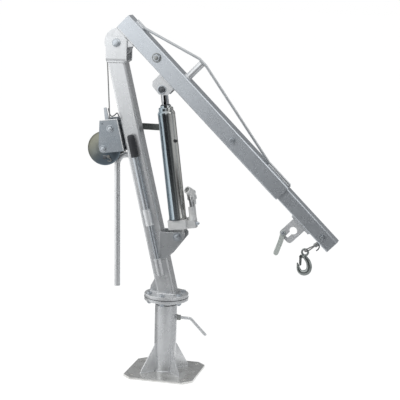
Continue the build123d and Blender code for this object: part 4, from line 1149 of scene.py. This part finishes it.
# %% Pawl spring
SPRING_R = 2.0
SPRING_LINE = [
    (-216, -32, 937), (-212, -38, 926), (-205, -41, 914), (-199, -41, 910), (-189, -41, 916),
    (-181, -41, 926), (-176, -41, 917), (-170, -41, 900),
]
add_wire("pawl_spring", "mast", "dark_bolt", SPRING_LINE, SPRING_R)

# %% [markdown]
# Bare metal shows its surroundings, so the studio is part of the finish. The world is
# white for the camera and for reflections, and a pale floor takes the shadow. Cards
# that only reflections see do what they do in a product studio: they put greys into
# the flat faces and dark bands into the round ones.

# %% Studio
WHITE_RAYS = ("Is Camera Ray", "Is Glossy Ray", "Is Transmission Ray")
WHITE = (1, 1, 1, 1)
FILL_COLOUR, FILL_STRENGTH = (0.95, 0.97, 1.0, 1.0), 0.55
FLOOR_GREY, FLOOR_GLOW, FLOOR_WHITE, FLOOR_SIZE = (0.9, 0.9, 0.9, 1), 1.09, 0.86, 60
CARD_TINT = (0.97, 0.985, 1.0)


def white_share(tree):
    """One for the rays that see the white studio, and zero for those that light things."""
    path = add_node(tree, "ShaderNodeLightPath")
    total = path.outputs[WHITE_RAYS[0]]
    for kind in WHITE_RAYS[1:]:
        either = add_node(tree, "ShaderNodeMath", operation="MAXIMUM")
        tree.links.new(total, either.inputs[0])
        tree.links.new(path.outputs[kind], either.inputs[1])
        total = either.outputs["Value"]
    return total


def mix_by_ray(tree, share, plain, white, output):
    mix = add_node(tree, "ShaderNodeMixShader", Fac=share)
    tree.links.new(plain, mix.inputs[1])
    tree.links.new(white, mix.inputs[2])
    set_sockets(tree, tree.nodes[output], Surface=mix.outputs["Shader"])


def set_world():
    world = bpy.data.worlds.new("studio")
    world.use_nodes = True
    scene.world = world
    tree = world.node_tree
    soft = set_sockets(tree, tree.nodes["Background"], Color=FILL_COLOUR, Strength=FILL_STRENGTH)
    white = add_node(tree, "ShaderNodeBackground", Color=WHITE, Strength=1.0)
    shaders = soft.outputs["Background"], white.outputs["Background"]
    mix_by_ray(tree, white_share(tree), *shaders, "World Output")


def floor_finish():
    """Pale diffuse floor that the camera sees almost white, with a faint shadow left in it."""
    material, tree, shader = start_material("floor")
    tree.nodes.remove(shader)
    pale = add_node(tree, "ShaderNodeBsdfDiffuse", Color=FLOOR_GREY)
    white = add_node(tree, "ShaderNodeEmission", Color=WHITE, Strength=FLOOR_GLOW)
    share = ramp(tree, white_share(tree), 0.0, FLOOR_WHITE)
    mix_by_ray(tree, share, pale.outputs["BSDF"], white.outputs["Emission"], "Material Output")
    return material


def card_finish(name, stops, along):
    """A card that glows in greys along a direction; a stop is a distance in metres and the grey there."""
    material, tree, shader, place = start_finish(name)
    tree.nodes.remove(shader)
    first, last = stops[0][0], stops[-1][0]
    shades = add_node(tree, "ShaderNodeValToRGB", Fac=across_piece(tree, place, along, first, last))
    for distance, _ in stops[1:-1]:
        shades.color_ramp.elements.new((distance - first) / (last - first))
    for element, (_, grey) in zip(shades.color_ramp.elements, stops):
        element.color = (*shaded(CARD_TINT, grey), 1)
    glow = add_node(tree, "ShaderNodeEmission", Color=shades.outputs["Color"], Strength=1.0)
    set_sockets(tree, tree.nodes["Material Output"], Surface=glow.outputs["Emission"])
    return material


def add_sheet(name, width, depth, place, finish):
    """A flat sheet of the stage, which is no part of the crane."""
    bm = bmesh.new()
    bmesh.ops.create_grid(bm, x_segments=1, y_segments=1, size=0.5)
    bmesh.ops.scale(bm, vec=(width, depth, 1), verts=bm.verts)
    bmesh.ops.transform(bm, matrix=place, verts=bm.verts)
    sheet = to_object(name, bm, finish)
    print(name, width, "by", depth, "m")
    return sheet


def add_card(name, width, depth, place, stops, along=(0, 0, 1)):
    card = add_sheet(name, width, depth, place, card_finish(name, stops, along))
    card.visible_camera = False
    card.visible_diffuse = False
    card.visible_shadow = False


def facing(place, aim):
    """A matrix at place whose Z axis points at aim."""
    turn = (Vector(aim) - Vector(place)).to_track_quat("Z", "Y").to_matrix().to_4x4()
    return Matrix.Translation(place) @ turn


def add_lamp(name, place, aim, size, power):
    data = bpy.data.lights.new(name, "AREA")
    data.shape = "RECTANGLE"
    data.size, data.size_y = size
    data.energy = power
    lamp = bpy.data.objects.new(name, data)
    lamp.location = place
    lamp.rotation_mode = "QUATERNION"
    lamp.rotation_quaternion = (Vector(aim) - Vector(place)).to_track_quat("-Z", "Y")
    lamp.visible_glossy = False
    scene.collection.objects.link(lamp)


set_world()
add_sheet("floor", FLOOR_SIZE, FLOOR_SIZE, WORLD, floor_finish())

# %% [markdown]
# The front card stands between the camera and the crane, unseen by the camera. It is
# pale above and to the left, and dark below, so the upright faces grow darker towards
# the ground and along the boom. Beside it a dark card, paler at its right, shades the
# jack's right flank. A grey card behind shows in the top faces. The right card is dark
# above, which gives the bolts a dark side. The cards on the floor show in the column.
# A dark strip close to the jack draws the band down its tube, a short one does so for
# the ram, and a bright strip along the boom's slope whitens its upper edge.

# %% Cards for the reflections
FRONT_GREYS = [
    (-0.3, 0.0), (-0.14, 0.0), (0.04, 0.08), (0.41, 0.10), (0.67, 0.24), (0.84, 0.25), (0.95, 0.34),
    (1.0, 0.43), (1.23, 0.60), (1.31, 0.73), (1.5, 0.86), (1.62, 1.0), (1.75, 1.3), (1.95, 1.35),
]
FRONT_RIGHT_GREYS = [(0.6, 0.04), (0.95, 0.10), (1.5, 0.5)]
BACK_GREYS = [(0.0, 0.25), (1.9, 0.22)]
RIGHT_GREYS = [(0.0, 0.22), (0.3, 0.28), (0.45, 0.55), (0.7, 0.72), (0.95, 0.72), (1.04, 0.08), (1.5, 0.04)]
FLOOR_GREYS = [(0.1, 0.5), (0.4, 0.72), (0.75, 0.58), (1.2, 0.35)]
STRIP_GREYS = [(0.54, 0.13), (0.72, 0.0), (1.0, 0.0)]
UP_LEFT, TO_RIGHT, TO_CAMERA = (-1, 0, 1), (1, 0, 0), (0, -1, 0)
JACK_LEAN, STRIP_LEAN = math.radians(-7.8), math.radians(-11.2)
CARD_LIFT = 0.003
SIDEWAYS = Matrix.Rotation(math.pi / 2, 4, "Y")


def even(grey):
    return [(0.0, grey), (1.0, grey)]


def standing(place, lean=0.0):
    """A matrix that stands a sheet up at place, facing the camera and leaning to a side."""
    return Matrix.Translation(place) @ Matrix.Rotation(lean, 4, "Y") @ Matrix.Rotation(math.pi / 2, 4, "X")


def lying(x, y):
    return Matrix.Translation((x, y, CARD_LIFT))


add_card("front_card", 2.1, 2.0, standing((-0.45, -1.25, 1.0)), FRONT_GREYS, UP_LEFT)
add_card("front_right_card", 0.9, 2.0, standing((1.05, -1.25, 1.0)), FRONT_RIGHT_GREYS, TO_RIGHT)
add_card("back_card", 3.0, 2.0, standing((0, 1.6, 1.0)), BACK_GREYS)
add_card("jack_strip", 0.056, 0.415, standing((-0.0075, -0.07, 0.757), STRIP_LEAN), STRIP_GREYS)
add_card("ram_strip", 0.03, 0.034, standing((-0.015, -0.03, 0.971), JACK_LEAN), even(0.0))
add_card("right_card", 1.5, 2.4, Matrix.Translation((1.5, 0, 0.75)) @ SIDEWAYS, RIGHT_GREYS)
add_card("front_floor_card", 3.0, 1.1, lying(0, -0.68), FLOOR_GREYS, TO_CAMERA)
add_card("right_floor_card", 1.2, 1.4, lying(0.85, 0.57), even(0.52))
add_card("left_floor_card", 1.2, 1.4, lying(-0.85, 0.57), even(0.18))
add_card("edge_strip", 0.5, 2.2, facing((1.44, -0.57, 2.27), (0.15, 0, 0.85)), even(2.0))
add_lamp("overhead", (-0.9, -1.5, 2.6), (-0.1, 0, 0.9), (1.4, 1.0), 42)
add_lamp("left_side", (-2.2, -0.8, 1.2), (0, 0, 0.7), (1.0, 1.6), 18)
